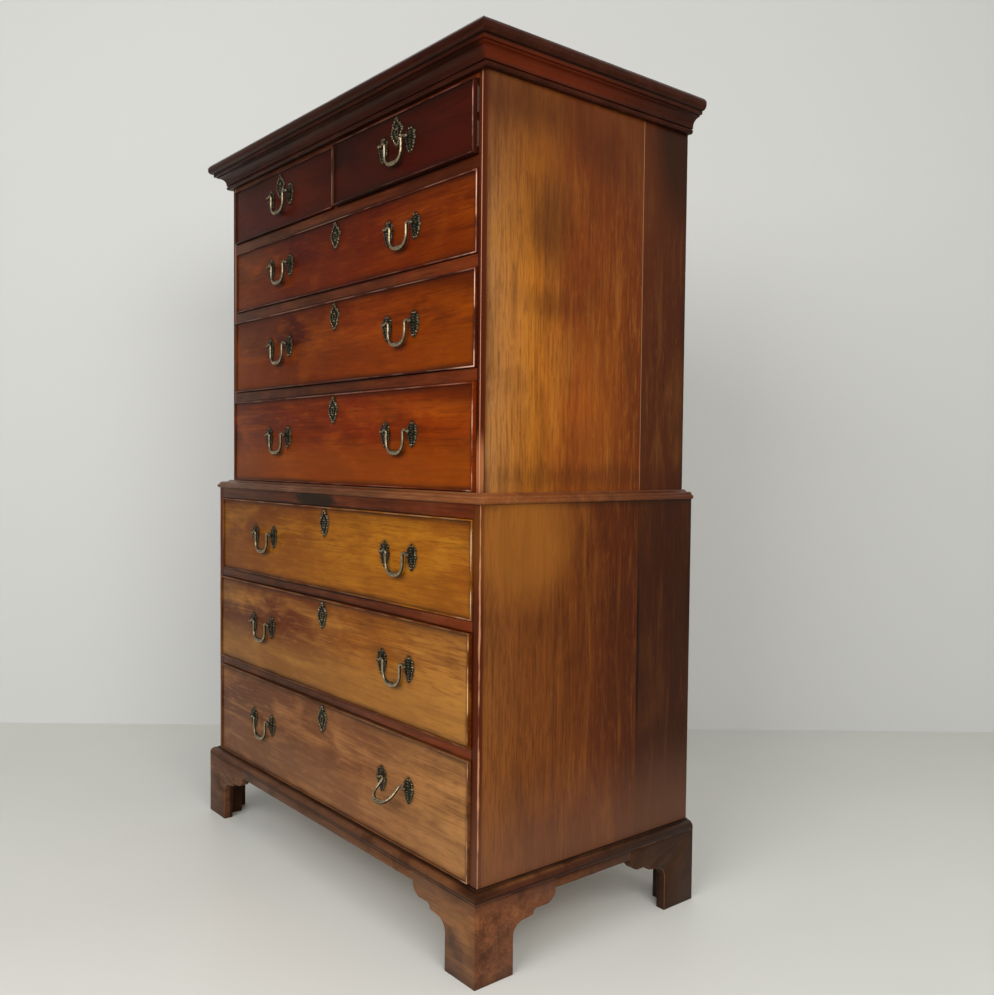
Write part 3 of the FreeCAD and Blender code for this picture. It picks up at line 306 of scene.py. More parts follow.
class Finish:
    """A wood finish in the making. box is the board's lowest and highest corner, grain its axis."""

    def __init__(self, name, grain, box):
        self.material, self.tree, self.shader = new_material(name)
        self.low, self.high = (np.array(list(corner)) for corner in box)
        self.grain = grain
        self.where = self.add("TexCoord", output="Object")
        self.axes = [self.add("SeparateXYZ", (self.where,), output=axis) for axis in range(3)]
        self.shift = float(np.abs(self.low).sum() * 7.3)      # so that no two boards are alike

    def add(self, kind, inputs=(), **settings):
        return add(self.tree, kind, inputs, **settings)

    def pattern(self, along, across, detail=3.0, distortion=0.0):
        """Noise with so many cells per metre along and across the grain; each call starts elsewhere."""
        self.shift += 1.37
        start = [self.shift, self.shift * 1.7, self.shift * 0.6]
        scale = [across] * 3
        scale[self.grain] = along
        place = self.add("Mapping", (self.where, start, None, scale))
        return self.add("TexNoise", {"Vector": place, "Scale": 1.0, "Detail": detail,
                                     "Distortion": distortion})

    def ragged(self, distance, amount, along, across):
        """distance + amount * (a noise of 0 to 1)."""
        return self.add("Math", (self.pattern(along, across), amount, distance), operation="MULTIPLY_ADD")

    def lay(self, tone, mask, start, end, amount=1.0):
        """Lay a tone over the colour: none where the mask is at start, amount where it is at end."""
        share = self.add("MapRange", (mask, start, end, 0.0, amount), interpolation_type="SMOOTHSTEP")
        self.colour = self.add("Mix", {0: share, 6: self.colour, 7: tone}, output=2, data_type="RGBA")
        return self

    def spot(self, tone, centre, radii, full, amount, edge=1.0):
        """Lay a tone in an ellipsoid: none from edge times its radii on, amount from full times inwards."""
        return self.lay(tone, self.pool(centre, radii), edge, full, amount)

    def tones(self, axis, tones, wobble=0.25):
        """Start with tones spread evenly along an axis of the board, their borders shaken by clouds."""
        low, high = float(self.low[axis]), float(self.high[axis])
        share = self.add("MapRange", (self.axes[axis], low, high, -wobble / 2, 1 - wobble / 2))
        shaken = self.ragged(share, wobble, 4.0, 7.0)
        self.colour = self.add("ValToRGB", (shaken,), stops=evenly(tones))
        return self

    def figure(self, dark, light, depth=0.5, ribbon=26.0, cloud=13.0):
        """Ribbons, clouds, flecks and streaks, dark and light, and pores over them."""
        ribbons = self.pattern(ribbon * 0.10, ribbon, 5.0, 0.6)
        clouds = self.pattern(cloud * 0.6, cloud, 5.0, 0.5)
        flecks = self.pattern(ribbon * 0.9, ribbon * 4.5, 4.0, 0.3)
        self.streaks = self.pattern(9.0, 230.0, 4.0)
        self.lay(dark, clouds, 0.52, 0.30, depth * 0.8).lay(light, clouds, 0.50, 0.72, depth * 0.8)
        self.lay(dark, ribbons, 0.50, 0.30, depth * 0.8).lay(light, ribbons, 0.52, 0.72, depth * 0.8)
        self.lay(dark, flecks, 0.48, 0.30, depth * 0.6).lay(light, flecks, 0.54, 0.72, depth * 0.5)
        self.lay(dark, self.streaks, 0.5, 0.32, depth * 0.8)
        self.lay(light, self.streaks, 0.54, 0.72, depth * 0.45)
        return self.lay(dark, self.pattern(30.0, 820.0, 2.0), 0.56, 0.70, depth)

    def pool(self, centre, radii):
        """Distance from a centre in units of three radii: 1 on the ellipsoid that they make."""
        place = self.add("Mapping", (self.where, list(centre), None, list(radii)), vector_type="TEXTURE")
        return self.add("VectorMath", (place,), output="Value", operation="LENGTH")

    def to_edge(self, axes):
        """Distance to the nearest edge of a face along two axes: the least of half - |p - middle|."""
        inward = []
        for axis in axes:
            low, high = float(self.low[axis]), float(self.high[axis])
            off = self.add("Math", (self.axes[axis], (low + high) / 2), operation="SUBTRACT")
            off = self.add("Math", (off,), operation="ABSOLUTE")
            inward.append(self.add("Math", ((high - low) / 2, off), operation="SUBTRACT"))
        return self.add("Math", inward, operation="MINIMUM")

    def from_arris(self, x, y):
        """Distance from the upright lines at |x| and y."""
        aside = self.add("Math", (self.axes[0],), operation="ABSOLUTE")
        mirrored = self.add("CombineXYZ", (aside, self.axes[1]))
        return self.add("VectorMath", (mirrored, (x, y, 0)), output="Value", operation="DISTANCE")

    def rub(self, tone, amount=1.0):
        """Paler wood along the arrises that a piece's mesh marks, in patches: wear, and on the cockbeads a
        painted highlight.
        """
        mark = self.add("Attribute", output="Fac", attribute_name="worn")
        cloud = self.pattern(14.0, 14.0)
        patches = self.add("MapRange", (cloud, 0.36, 0.6), interpolation_type="SMOOTHSTEP")
        return self.lay(tone, self.add("Math", (mark, patches), operation="MULTIPLY"), 0.0, 1.0, amount)

    def polish(self, smoothest=0.28, dullest=0.44, sheen="#f2c090"):
        """Link the colour, the gloss, and the slight waves of a hand-planed, hand-polished board."""
        gloss = self.add("MapRange", (self.pattern(4.0, 9.0), 0.35, 0.65, smoothest, dullest))
        waves = self.add("Math", (self.pattern(9.0, 22.0), 2.0, self.streaks), operation="MULTIPLY_ADD")
        bumps = self.add("Bump", {"Height": waves, "Strength": 0.25, "Distance": 0.0005})
        feed(self.tree, self.shader, {"Base Color": self.colour, "Roughness": gloss, "Normal": bumps,
                                      "Specular IOR Level": 0.2, "Specular Tint": sheen})
        return self.material


def joined_box(*names):
    """The box round several nodes."""
    corners = np.array([[list(corner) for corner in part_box(name)] for name in names])
    return corners[:, 0].min(axis=0).tolist(), corners[:, 1].max(axis=0).tolist()


def nodes_ending(*ends):
    """The frame's nodes whose names end in one of these ways."""
    return [name for name in frame["nodes"] if name.endswith(ends)]


# %% [markdown]
# The rails between the drawers and the fronts of the cases are the darkest wood, and a painted
# shadow lies along the gap above and below each drawer. Under the waist, beside the middle keyhole,
# old ink or oil has left a black-green stain, and the rail over the upper long drawers is dark at the
# right.

# %% Rails
# a dark tone for dirt, and for painted shade in the gaps and hollows
DIRT_AND_SHADE = "#1a0c07"
PAST, FAR = 2.0, 5.0                        # radii in metres that reach past the whole chest
GAP = 0.0015                                # above and below each drawer
lower_case_box = joined_box("lower_side_left", "lower_side_right")
upper_case_box = joined_box("upper_side_left", "upper_side_right")
lower_front, upper_front = lower_case_box[0][1], upper_case_box[0][1]
lower_half, upper_half = lower_case_box[1][0], upper_case_box[1][0]
lower_top, upper_top = lower_case_box[1][2], upper_case_box[1][2]

rail_wood = Finish("French-polished mahogany, rails", 0, joined_box("upper_rails", "lower_rails"))
rail_wood.tones(0, ["#472f24", "#432212", "#55240f", "#6c2a0b"]).figure("#28110b", "#7b4224", 0.4)
stain = rail_wood.pool((-0.05, lower_front, lower_top - 0.012), (0.11, 0.03, 0.022))
rail_wood.lay("#14130c", rail_wood.ragged(stain, -0.8, 20.0, 60.0), 0.55, 0.2, 0.85)
# painted shadow along the gap above and below each drawer
for low, high in map(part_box, nodes_ending("_front")):
    middle, half = (low[0] + high[0]) / 2, (high[0] - low[0]) / 2
    for level in (low[2] - GAP, high[2] + GAP):
        rail_wood.spot(DIRT_AND_SHADE, (middle, lower_front, level), (half + 0.003, 0.2, 0.0045), 0.5, 0.7)
rail_wood.spot("#230d06", (0.40, upper_front, 1.501), (0.20, 0.03, 0.03), 0.5, 0.65)
repaint(rail_wood.polish(), "upper_rails", "lower_rails", "muntin")
print("rails:", rail_wood.material.name)

# %% [markdown]
# The ends of both cases are wide boards with their grain upright, one broad and one narrow board
# glued edge to edge. Sun and dusting have left them golden towards the front, and darker at
# the back. The glue line shows as a change of board; above it is pale, and below it has opened to
# a dark crack where the wood shrank. The front edges of the boards are as dark as the rails, with
# painted shade darkest beside the drawers. A strip of the same dark wood runs back round the corner,
# and where hands and dusters touch, the polish is rubbed to a pale, ragged line: on the corner itself
# below, and a finger's breadth in from it above. Soot and hands have left smudges on the upper ends.
# Light is painted on them too: the cornice's shadow, golden highlights, a pale highlight at the foot
# of the upper front edge, and the floor's reflection low on the lower ends.

# %% The ends of the cases
UPPER_SEAM, LOWER_SEAM = 0.181, 0.149       # where the two boards meet, in Y
PALE_LINE = 0.0115                          # how far the upper case's pale line is from its corner
BESIDE_DRAWERS = 0.0215                     # from the outside of an end to its edge by the drawers


def end_finish(name, box, tones, dark, light, narrow, seam, strip):
    """Grain upright, tones from front to back, a darker narrow board behind the joint at seam, a dark
    strip along the front, and a dark line of painted shade beside the drawers."""
    wood = Finish(name, 2, box)
    front = float(wood.low[1])
    wood.tones(1, tones, wobble=0.12).figure(dark, light, depth=0.48, ribbon=40.0, cloud=7.0)
    wood.lay(narrow, wood.axes[1], seam - 0.0006, seam + 0.0006, 0.6)
    wood.spot(DIRT_AND_SHADE, (0, seam, 1.0), (PAST, 0.0009, PAST), 0.4, 0.6)
    wood.lay(DIRT_AND_SHADE, wood.ragged(wood.to_edge((1, 2)), -0.02, 6.0, 12.0), 0.008, -0.010, 0.55)
    corner = wood.ragged(wood.axes[1], -0.003, 8.0, 60.0)
    wood.lay("#481605", corner, front + strip, front + strip - 0.002, 0.95)
    # painted shade in the gap beside the drawers
    wood.lay(DIRT_AND_SHADE, wood.from_arris(float(wood.high[0]) - BESIDE_DRAWERS, front), 0.0075, 0.002, 0.8)
    return wood


upper = end_finish("French-polished mahogany, upper ends", upper_case_box,
                   ["#96673b", "#a5621a", "#7f3b0d", "#6c2f07", "#592307", "#451502"],
                   "#431c08", "#9e6424", "#311409", UPPER_SEAM, 0.003)
# painted shadow of the cornice: the upper ends darken towards the top
upper.lay("#4a200e", upper.axes[2], upper_top - 0.50, upper_top - 0.05, 0.75)
# painted highlight: a golden patch low in the middle of the upper ends
upper.spot("#a85c1c", (upper_half, 0.05, 1.04), (0.1, 0.10, 0.30), 0.2, 0.22)
# each smudge: its middle and its radii in Y and Z, and its strength
SMUDGES = [(-0.085, 1.405, 0.080, 0.085, 0.60), (-0.085, 1.255, 0.090, 0.030, 0.40),
           (-0.150, 1.620, 0.140, 0.050, 0.55), (0.060, 1.570, 0.080, 0.060, 0.40),
           (0.010, 1.270, 0.090, 0.160, 0.28), (0.020, 0.925, 0.300, 0.022, 0.35)]
for y, z, wide, tall_by, amount in SMUDGES:
    smudge = upper.ragged(upper.pool((upper_half, y, z), (0.1, wide, tall_by)), -1.6, 8.0, 26.0)
    upper.lay("#35160a", smudge, 0.7, -0.7, amount)
upper.spot("#1c0b04", (upper_half, 0.30, 1.66), (0.1, 0.13, 0.28), 0.3, 0.85)
# painted highlight: a pale patch at the foot of the upper case's front edge
upper.spot("#b97648", (upper_half - 0.01, upper_front, 0.94), (0.03, 0.002, 0.08), 0.3, 0.6)
upper.spot("#b58a62", (0, UPPER_SEAM - 0.0008, 1.3), (PAST, 0.0012, PAST), 0.4, 0.5)
pale = upper.ragged(upper.from_arris(upper_half - PALE_LINE, upper_front), 0.002, 6.0, 90.0)
upper.lay("#d2977a", pale, 0.0024, 0.0012, 0.85)

lower = end_finish("French-polished mahogany, lower ends", lower_case_box,
                   ["#76441d", "#683612", "#5c2b0b", "#491c06", "#3c1304", "#2f0d03"],
                   "#2b1005", "#7c4718", "#270f06", LOWER_SEAM, 0.008)
# painted highlight: a golden patch near the top front of the lower ends
lower.spot("#9a5e20", (lower_half, -0.16, 0.80), (0.1, 0.17, 0.16), 0.3, 0.45)
crack = lower.pool((lower_half, LOWER_SEAM + 0.004, 0.56), (0.1, 0.0062, 0.25))
lower.lay("#0d0805", lower.ragged(crack, 0.9, 7.0, 60.0), 1.35, 0.85, 0.9)
# painted reflection of the pale floor: the lower ends turn greyish towards the bottom
lower.lay("#6d4a38", lower.axes[2], 0.40, 0.16, 0.5)
pale = lower.ragged(lower.from_arris(lower_half, lower_front), 0.012, 14.0, 60.0)
lower.lay("#b98560", pale, 0.0085, 0.0055, 0.85)

repaint(upper.polish(smoothest=0.28, dullest=0.46), "upper_side_left", "upper_side_right")
repaint(lower.polish(smoothest=0.32, dullest=0.50), "lower_side_left", "lower_side_right")
print("ends:", upper.material.name, "/", lower.material.name)

# %% [markdown]
# Behind the show wood everything is pine: drawer boxes, runners, dust boards and back boards. It
# was left bare from the plane, so it has no gloss, and two centuries of air have browned it.
# Bands of early and late wood run along each board about 6 mm apart.

# %% Bare pine
BANDS = {"along": 8.0, "across": 160.0, "distortion": 0.4}


def bare_pine(name, grain, tones, joints=()):
    """Pine bands: the ramp's tones over a noise squeezed across the grain, under brown stains. Past
    each joint the boards change tone, and the joint itself is a dark line."""
    pine = Finish(name, grain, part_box("lower_back_boards"))
    bands = pine.pattern(**BANDS)
    if grain == 1:
        # a drawer's back faces along Y, and its grain runs across the case
        facing = pine.add("SeparateXYZ", (pine.add("NewGeometry", output="True Normal"),), output=1)
        facing = pine.add("Math", (facing,), operation="ABSOLUTE")
        share = pine.add("MapRange", (facing, 0.6, 0.7))
        pine.grain = 0
        bands = pine.add("Mix", {0: share, 2: bands, 3: pine.pattern(**BANDS)})
    pine.colour = pine.add("ValToRGB", (bands,), stops=evenly(tones, 0.25, 0.75))
    pine.lay("#4a3320", pine.pattern(5.0, 5.0, 4.0), 0.4, 0.75, 0.5)
    for joint, tone in zip(joints, ("#4d3622", "#a5825a", "#5b4029")):
        pine.lay(tone, pine.axes[0], joint - 0.0005, joint + 0.0005, 0.4)
        pine.spot(DIRT_AND_SHADE, (joint, 0, 1), (0.0018, PAST, PAST), 0.5, 0.9)
    # the front edges that show between the drawers are stained like the rails
    pine.lay("#34180e", pine.axes[1], lower_front + 0.05, lower_front + 0.025, 0.95)
    bumps = pine.add("Bump", {"Height": bands, "Strength": 0.3, "Distance": 0.0004})
    feed(pine.tree, pine.shader, {"Base Color": pine.colour, "Roughness": 0.78, "Normal": bumps})
    return pine.material


PINE = ["#7a5836", "#94703f", "#a98652", "#b8975f"]
BACK_PINE = ["#5f452c", "#7a5b38", "#8d6c45", "#9a7a50"]
repaint(bare_pine("bare pine, grain across the case", 0, PINE),
        *nodes_ending("_bottom_board", "_top_board"))
repaint(bare_pine("bare pine, drawer boxes and runners", 1, PINE), *nodes_ending("_box", "_runners"))
for node in ("lower_back_boards", "upper_back_boards"):
    low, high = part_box(node)
    joints = [low[0] + (high[0] - low[0]) * share for share in (0.25, 0.5, 0.75)]     # four equal boards
    repaint(bare_pine(f"bare pine, {node.replace('_', ' ')}", 2, BACK_PINE, joints), node)
print("pine on", sum("pine" in made.data.materials[0].name for made in frame["nodes"].values()), "nodes")

# %% [markdown]
# The mouldings are one section carried round three sides of the case, mitred at the two front
# corners. A section is a list of small steps; round steps become arcs of twelve points. On real
# work a plane leaves the arrises crisp and two centuries of dusting rub them, so each corner is cut
# by half a millimetre and marked, and the finish lets pale wood show along the marks.

# %% Sections
MM = 0.001


def arc(du, dv, turn, fullness, count=12):
    """Points of an arc over the step (du, dv): radius = fullness * chord, bulging to the side of turn."""
    chord = math.hypot(du, dv)
    radius = max(fullness, 0.5) * chord
    sagitta = math.sqrt(radius ** 2 - chord ** 2 / 4)
    mid = np.array([du, dv]) / 2
    centre = mid + turn * np.array([-dv, du]) / chord * sagitta
    start = math.atan2(-centre[1], -centre[0])
    sweep = math.atan2(dv - centre[1], du - centre[0]) - start
    sweep = (sweep + math.pi) % (2 * math.pi) - math.pi
    angle = start + sweep * np.linspace(0, 1, count + 1)[1:]
    return centre + radius * np.stack([np.cos(angle), np.sin(angle)], axis=1)


def section(steps):
    """Steps (du, dv) or (du, dv, turn, fullness) in millimetres, as a list of points in metres."""
    points = [np.array([steps[0][:2]], dtype=float)]
    for step in steps[1:]:
        run = arc(*step) if len(step) > 2 else np.array([step[:2]], dtype=float)
        points.append(points[-1][-1] + run)
    return np.vstack(points) * MM


def eased(profile, size=0.0005):
    """Each corner becomes three points, cut back by size along both its edges; the mark is the sine
    of the corner's turn where it stands out, and 0 where the corner is hollow."""
    before, after = np.roll(profile, 1, axis=0) - profile, np.roll(profile, -1, axis=0) - profile
    long_before, long_after = np.linalg.norm(before, axis=1), np.linalg.norm(after, axis=1)
    cut_before = np.minimum(size / long_before, 0.3)[:, None]
    cut_after = np.minimum(size / long_after, 0.3)[:, None]
    first, last = profile + before * cut_before, profile + after * cut_after
    middle = (first + last + profile * 2) / 4
    turn = (before[:, 1] * after[:, 0] - before[:, 0] * after[:, 1]) / (long_before * long_after)
    area = np.sum(profile[:, 0] * np.roll(profile[:, 1], -1) - profile[:, 1] * np.roll(profile[:, 0], -1))
    stands = np.clip(turn * np.sign(area), 0, 1)
    marks = np.stack([stands * 0, stands, stands * 0], axis=1).ravel()
    return np.stack([first, middle, last], axis=1).reshape(-1, 2), marks


def carried(profile, stations, outs, rise):
    """Grid point (i, j) = station i + out i * profile u j + rise * profile v j."""
    return (stations[:, None, :] + outs[:, None, :] * profile[None, :, :1]
            + np.asarray(rise)[None, None, :] * profile[None, :, 1:])


def spread(corners, count, closed=False):
    """count points on each straight between corners; a closed path does without its last corner."""
    corners = np.array(corners, dtype=float)
    share = np.linspace(0, 1, count + 1)[:-1, None]
    points = [start + (end - start) * share for start, end in zip(corners, corners[1:])]
    return np.vstack(points if closed else points + [corners[-1:]])


print("an ovolo of 9 by 12 mm has", len(arc(-9, 12, -1, 0.75)), "points")

# %% [markdown]
# Hand-planed mouldings are never quite straight: the plane follows the board. The face of the
# moulding is set back by 0 to 0.5 mm from place to place, a sum of a few slow waves, which is
# enough to break up the long reflections.

# %% Cornice and waist mouldings
WANDER = 0.00025                            # half the most that the face is set back
WAIST_GAP = 0.0005                          # between the waist moulding and the upper case
rear = upper_case_box[1][1]
cornice_low = float(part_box("cornice")[0][2])
waist_inner = lower_half - upper_half - WAIST_GAP


def hand_run(length, seed):
    """A slow wander along the path: three sine waves of 2, 5 and 9 turns with fixed phases."""
    t = np.linspace(0, 2 * np.pi, length)
    phase = np.array([0.7, 2.1, 4.0]) * seed
    waves = np.sin(2 * t + phase[0]) + 0.6 * np.sin(5 * t + phase[1]) + 0.4 * np.sin(9 * t + phase[2])
    return WANDER * waves / 2


def run_moulding(name, steps, half, front, level, inner, seed):
    """A section carried from the back left corner round the front to the back right. Its last point
    lies at inner, level with its top."""
    steps = section(steps)
    profile, marks = eased(np.vstack([steps, [inner, steps[-1][1]]]))
    path = [[-half, rear, level], [-half, front, level], [half, front, level], [half, rear, level]]
    stations = spread(path, 24)
    outs = spread([[-1, 0, 0], [-1, -1, 0], [1, -1, 0], [1, 0, 0]], 24)
    set_back = hand_run(len(stations), seed)[:, None, None] + WANDER
    face = (profile[:, 0] > profile[:, 0].max() * 0.3)[None, :, None]
    points = carried(profile, stations, outs, (0, 0, 1)) - outs[:, None, :] * np.where(face, set_back, 0)
    return mesh_from_grid(name, points, close_columns=True, caps=True, marks={"worn": marks[None, :]})


# the bead, its fillet, the cove and its fillet, the fascia, the ovolo, the lip and the sloping top
cornice_steps = [(0, 0), (10, 0), (0, 10.5, 1, 0.52), (4, 0), (0, 1.5), (18, 19.5, -1, 0.72), (0, 3),
                 (7, 0), (0, 7), (2, 0), (9, 12, 1, 0.75), (0, 4.5), (-14, 12, 1, 1.3)]
cornice_mesh = run_moulding("cornice_moulding", cornice_steps, upper_half, upper_front, cornice_low,
                            inner=0, seed=1)
# the bottom, the bead, its fillet, the ovolo and the cove
waist_steps = [(-waist_inner / MM, 0), (waist_inner / MM + 2.5, 0), (0, 9, 1, 0.52), (-1.5, 0), (0, 1.5),
               (-8, 5, 1, 0.75), (-12, 4.5, -1, 0.95)]
waist_mesh = run_moulding("waist_moulding_run", waist_steps, lower_half, lower_front, lower_top,
                          inner=-waist_inner, seed=2)

cornice_wood = Finish("French-polished mahogany, cornice", 0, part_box("cornice"))
cornice_wood.tones(0, ["#2a1811", "#28120b", "#2b0f07", "#2e0f07"]).figure("#140705", "#4a2014", 0.4)
# painted shade in the hollows of the cornice
for level in (0.0112, 0.0330, 0.0415):          # the hollows beside the bead, the cove and the ovolo
    cornice_wood.spot(DIRT_AND_SHADE, (0, 0, cornice_low + level), (FAR, FAR, 0.0018), 0.3, 0.75)
# painted highlight: a red band along the cove of the right end, back from the front corner
cornice_wood.spot("#6a2208", (0.57, -0.12, cornice_low + 0.022), (0.04, 0.42, 0.022), 0.4, 0.6)
waist_wood = Finish("French-polished mahogany, waist moulding", 0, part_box("waist_moulding"))
waist_wood.tones(0, ["#634636", "#573524", "#663a1d", "#7c431c"]).figure("#33180e", "#8a5a3a", 0.4)
waist_wood.lay("#3a1a10", waist_wood.axes[1], lower_front + 0.02, rear, 0.8)
cornice_wood.rub("#5c3022", 0.8)
waist_wood.rub("#94664c", 0.8)
piece(cornice_mesh, "upper_case", cornice_wood.polish(), ("cornice",))
piece(waist_mesh, "lower_case", waist_wood.polish(), ("waist_moulding",))
print("mouldings:", [len(m.polygons) for m in (cornice_mesh, waist_mesh)], "faces")

# %% [markdown]
# The base moulding and the feet keep the exact form of the CAD model: brackets sawn to a
# hollow, a cusp and a round, and mitred at the front corners. Their edges took the knocks of brooms
# and boots, so here each edge is bevelled by a millimetre. The bevel's own faces are marked as
# worn, and the finish rubs through along them. Where two brackets meet in a mitre their hidden
# faces are the same, and these are taken out first, so that the corner becomes one edge.

# %% Base moulding and feet
BEVEL, SHARP = 0.0009, 30                   # metres and degrees


def worn_copy(node):
    """A node's mesh as one surface with its sharp edges bevelled, kept inside the node's box."""
    shape = bmesh.new()
    shape.from_mesh(frame["nodes"][node].data)
    bmesh.ops.remove_doubles(shape, verts=shape.verts, dist=1e-5)
    bmesh.ops.dissolve_limit(shape, angle_limit=math.radians(1), verts=shape.verts, edges=shape.edges)
    seen = {}
    for face in shape.faces:
        seen.setdefault(frozenset(face.verts), []).append(face)
    doubled = [face for same in seen.values() if len(same) > 1 for face in same]
    bmesh.ops.delete(shape, geom=doubled, context="FACES")
    worn = shape.faces.layers.float.new("worn")
    sharp = [edge for edge in shape.edges
             if len(edge.link_faces) == 2 and edge.calc_face_angle(0) > math.radians(SHARP)]
    made = bmesh.ops.bevel(shape, geom=sharp, offset=BEVEL, offset_type="OFFSET", segments=2, profile=0.5,
                           affect="EDGES", clamp_overlap=True)
    for face in made["faces"]:
        face[worn] = 1.0
    bmesh.ops.recalc_face_normals(shape, faces=shape.faces)
    mesh = bpy.data.meshes.new(f"{node}_worn")
    shape.to_mesh(mesh)
    shape.free()
    # a bevel's corner can overshoot by its size
    corners = np.empty(len(mesh.vertices) * 3)
    mesh.vertices.foreach_get("co", corners)
    mesh.vertices.foreach_set("co", np.clip(corners.reshape(-1, 3), *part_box(node)).ravel())
    return smoothed(mesh, SHARP)


PLINTH = ["base_moulding", "foot_front_left", "foot_front_right", "foot_rear_left", "foot_rear_right"]
FOOT_TONES = ["#5a3c2c", "#604630", "#6a4a32", "#80532c"]
MOULDING_LINES = (0.1545, 0.1592, 0.1735)   # the hollows over the brackets, under the ovolo and at the top
for node in PLINTH:
    wood = Finish(f"French-polished mahogany, {node.replace('_', ' ')}", 0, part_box("base_moulding"))
    wood.tones(0, FOOT_TONES)
    # the brackets are redder low down, and on the face of the right end
    wood.lay("#54301f", wood.ragged(wood.axes[2], 0.03, 14.0, 14.0), 0.095, 0.06, 0.45)
    end_face = wood.ragged(wood.axes[0], 0.006, 14.0, 20.0)
    wood.lay("#6a3a24", end_face, lower_half + 0.0195, lower_half + 0.0225, 0.8)
    wood.figure("#2a120a", "#9a6238", depth=0.42, ribbon=30.0, cloud=20.0)
    # the moulding above them is darker; then blotches; darker near the floor and at the back; painted shade
    # inside
    wood.lay("#4c2a1a", wood.ragged(wood.axes[2], 0.012, 9.0, 12.0), 0.125, 0.155, 0.6)
    wood.lay("#240c07", wood.pattern(16.0, 24.0, 5.0), 0.50, 0.70, 0.6)
    wood.spot("#34110a", (lower_half + 0.024, 0, 0.165), (0.012, 0.7, 0.022), 0.6, 0.7)
    wood.spot(DIRT_AND_SHADE, (lower_half + 0.01, lower_front - 0.01, 0.172), (0.08, 0.08, 0.017), 0.3, 0.75)
    wood.lay("#301810", wood.ragged(wood.axes[2], 0.03, 14.0, 14.0), 0.040, 0.010, 0.55)
    wood.lay("#1e130e", wood.axes[1], lower_front + 0.06, lower_front + 0.50, 0.85)
    # painted shade on the inner faces of the brackets
    wood.lay(DIRT_AND_SHADE, wood.to_edge((0, 1)), 0.012, 0.017, 0.8)
    # painted shade in the hollows of the base moulding
    for level in MOULDING_LINES:
        wood.spot(DIRT_AND_SHADE, (0, 0, level), (FAR, FAR, 0.0026), 0.3, 0.85)
    wood.rub("#8a5a3c", 0.45)
    piece(worn_copy(node), "lower_case", wood.polish(smoothest=0.3, dullest=0.5), (node,))
worn_pieces = [made for made in bpy.data.objects if made.name.endswith("_worn")]
print("base and feet:", sum(len(made.data.polygons) for made in worn_pieces), "faces")

# %% [markdown]
# A drawer front is a board with a thin bead let into a rebate all round it. The bead, or cockbead,
# stands 3 mm proud of the wood, guards the edges of the veneer or figured wood, and has a round
# nose that wears pale. Here the board is a copy of the CAD board, which has the lapped
# dovetails cut in its ends, and the bead is a half-round section carried round the four sides.

# %% Boards and cockbeads
BEAD, BEAD_PROUD, BEAD_DEPTH = 0.0035, 0.003, 0.006
TINY = 2e-5                                 # coordinates closer than this are the same


def front_box(drawer):
    """Ends, levels and face of a drawer front, from its node's box."""
    low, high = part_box(f"{drawer}_front")
    return low[0], high[0], low[2], high[2], low[1] + BEAD_PROUD, high[1]


def cad_triangles(node):
    """A node's corners, and its triangles as rows of three corner numbers."""
    source = frame["nodes"][node].data
    source.calc_loop_triangles()
    corners = np.empty(len(source.vertices) * 3)
    source.vertices.foreach_get("co", corners)
    triangles = np.empty(len(source.loop_triangles) * 3, dtype=int)
    source.loop_triangles.foreach_get("vertices", triangles)
    return corners.reshape(-1, 3), triangles.reshape(-1, 3)


def mesh_of(name, corners, triangles):
    """A mesh of some of a node's triangles."""
    mesh = bpy.data.meshes.new(name)
    mesh.from_pydata(corners.tolist(), [], triangles.tolist())
    return tidied(mesh, 30)


def board_mesh(drawer):
    """The CAD board without its four beads. A triangle belongs to a bead when it reaches in front
    of the board's face, or lies in the rebate against the outer edge and isn't the rebate's floor."""
    x0, x1, z0, z1, face, _ = front_box(drawer)
    corners, triangles = cad_triangles(f"{drawer}_front")
    points = corners[triangles]
    ahead = np.cross(points[:, 1] - points[:, 0], points[:, 2] - points[:, 0])[:, 1] < -1e-9
    sides = ((0, x0), (0, x1), (2, z0), (2, z1))
    outer = np.any([np.abs(points[..., axis] - level) < TINY for axis, level in sides], axis=0)
    nearest, furthest = points[..., 1].min(axis=1), points[..., 1].max(axis=1)
    in_rebate = furthest < face + BEAD_DEPTH + TINY
    floor = in_rebate & (nearest > face + BEAD_DEPTH - TINY) & ahead
    bead = (nearest < face - TINY) | (in_rebate & outer.any(axis=1) & ~floor)
    return mesh_of(f"{drawer}_board", corners, triangles[~bead])


def bead_mesh(drawer):
    """A section with a half-round nose carried round the rectangle, mitred at the corners. The marks
    are strongest on the nose, and differ from length to length: on the right length they are a painted
    highlight as well as wear."""
    x0, x1, z0, z1, face, _ = front_box(drawer)
    nose = np.linspace(np.pi, 0, 9)
    r = BEAD / 2
    round_nose = np.stack([r + r * np.cos(nose), BEAD_PROUD - r + r * np.sin(nose)], axis=1)
    profile = np.vstack([[0, -BEAD_DEPTH], round_nose, [BEAD, -BEAD_DEPTH]])
    marks = np.concatenate([[0], np.sin(nose) ** 2, [0]])
    path = [[x0, face, z0], [x1, face, z0], [x1, face, z1], [x0, face, z1], [x0, face, z0]]
    stations = spread(path, 12, closed=True)
    inward = spread([[1, 0, 1], [-1, 0, 1], [-1, 0, -1], [1, 0, -1], [1, 0, 1]], 12, closed=True)
    points = carried(profile, stations, inward, (0, -1, 0))
    # the right length's pale nose is a painted highlight as well as wear
    rubbed = np.repeat([0.22, 1.0, 0.3, 0.12], 12)[:, None]       # bottom, right, top, left
    return mesh_from_grid(f"{drawer}_cockbead", points, close_rows=True, close_columns=True,
                          marks={"worn": marks[None, :] * rubbed}, smooth=50)
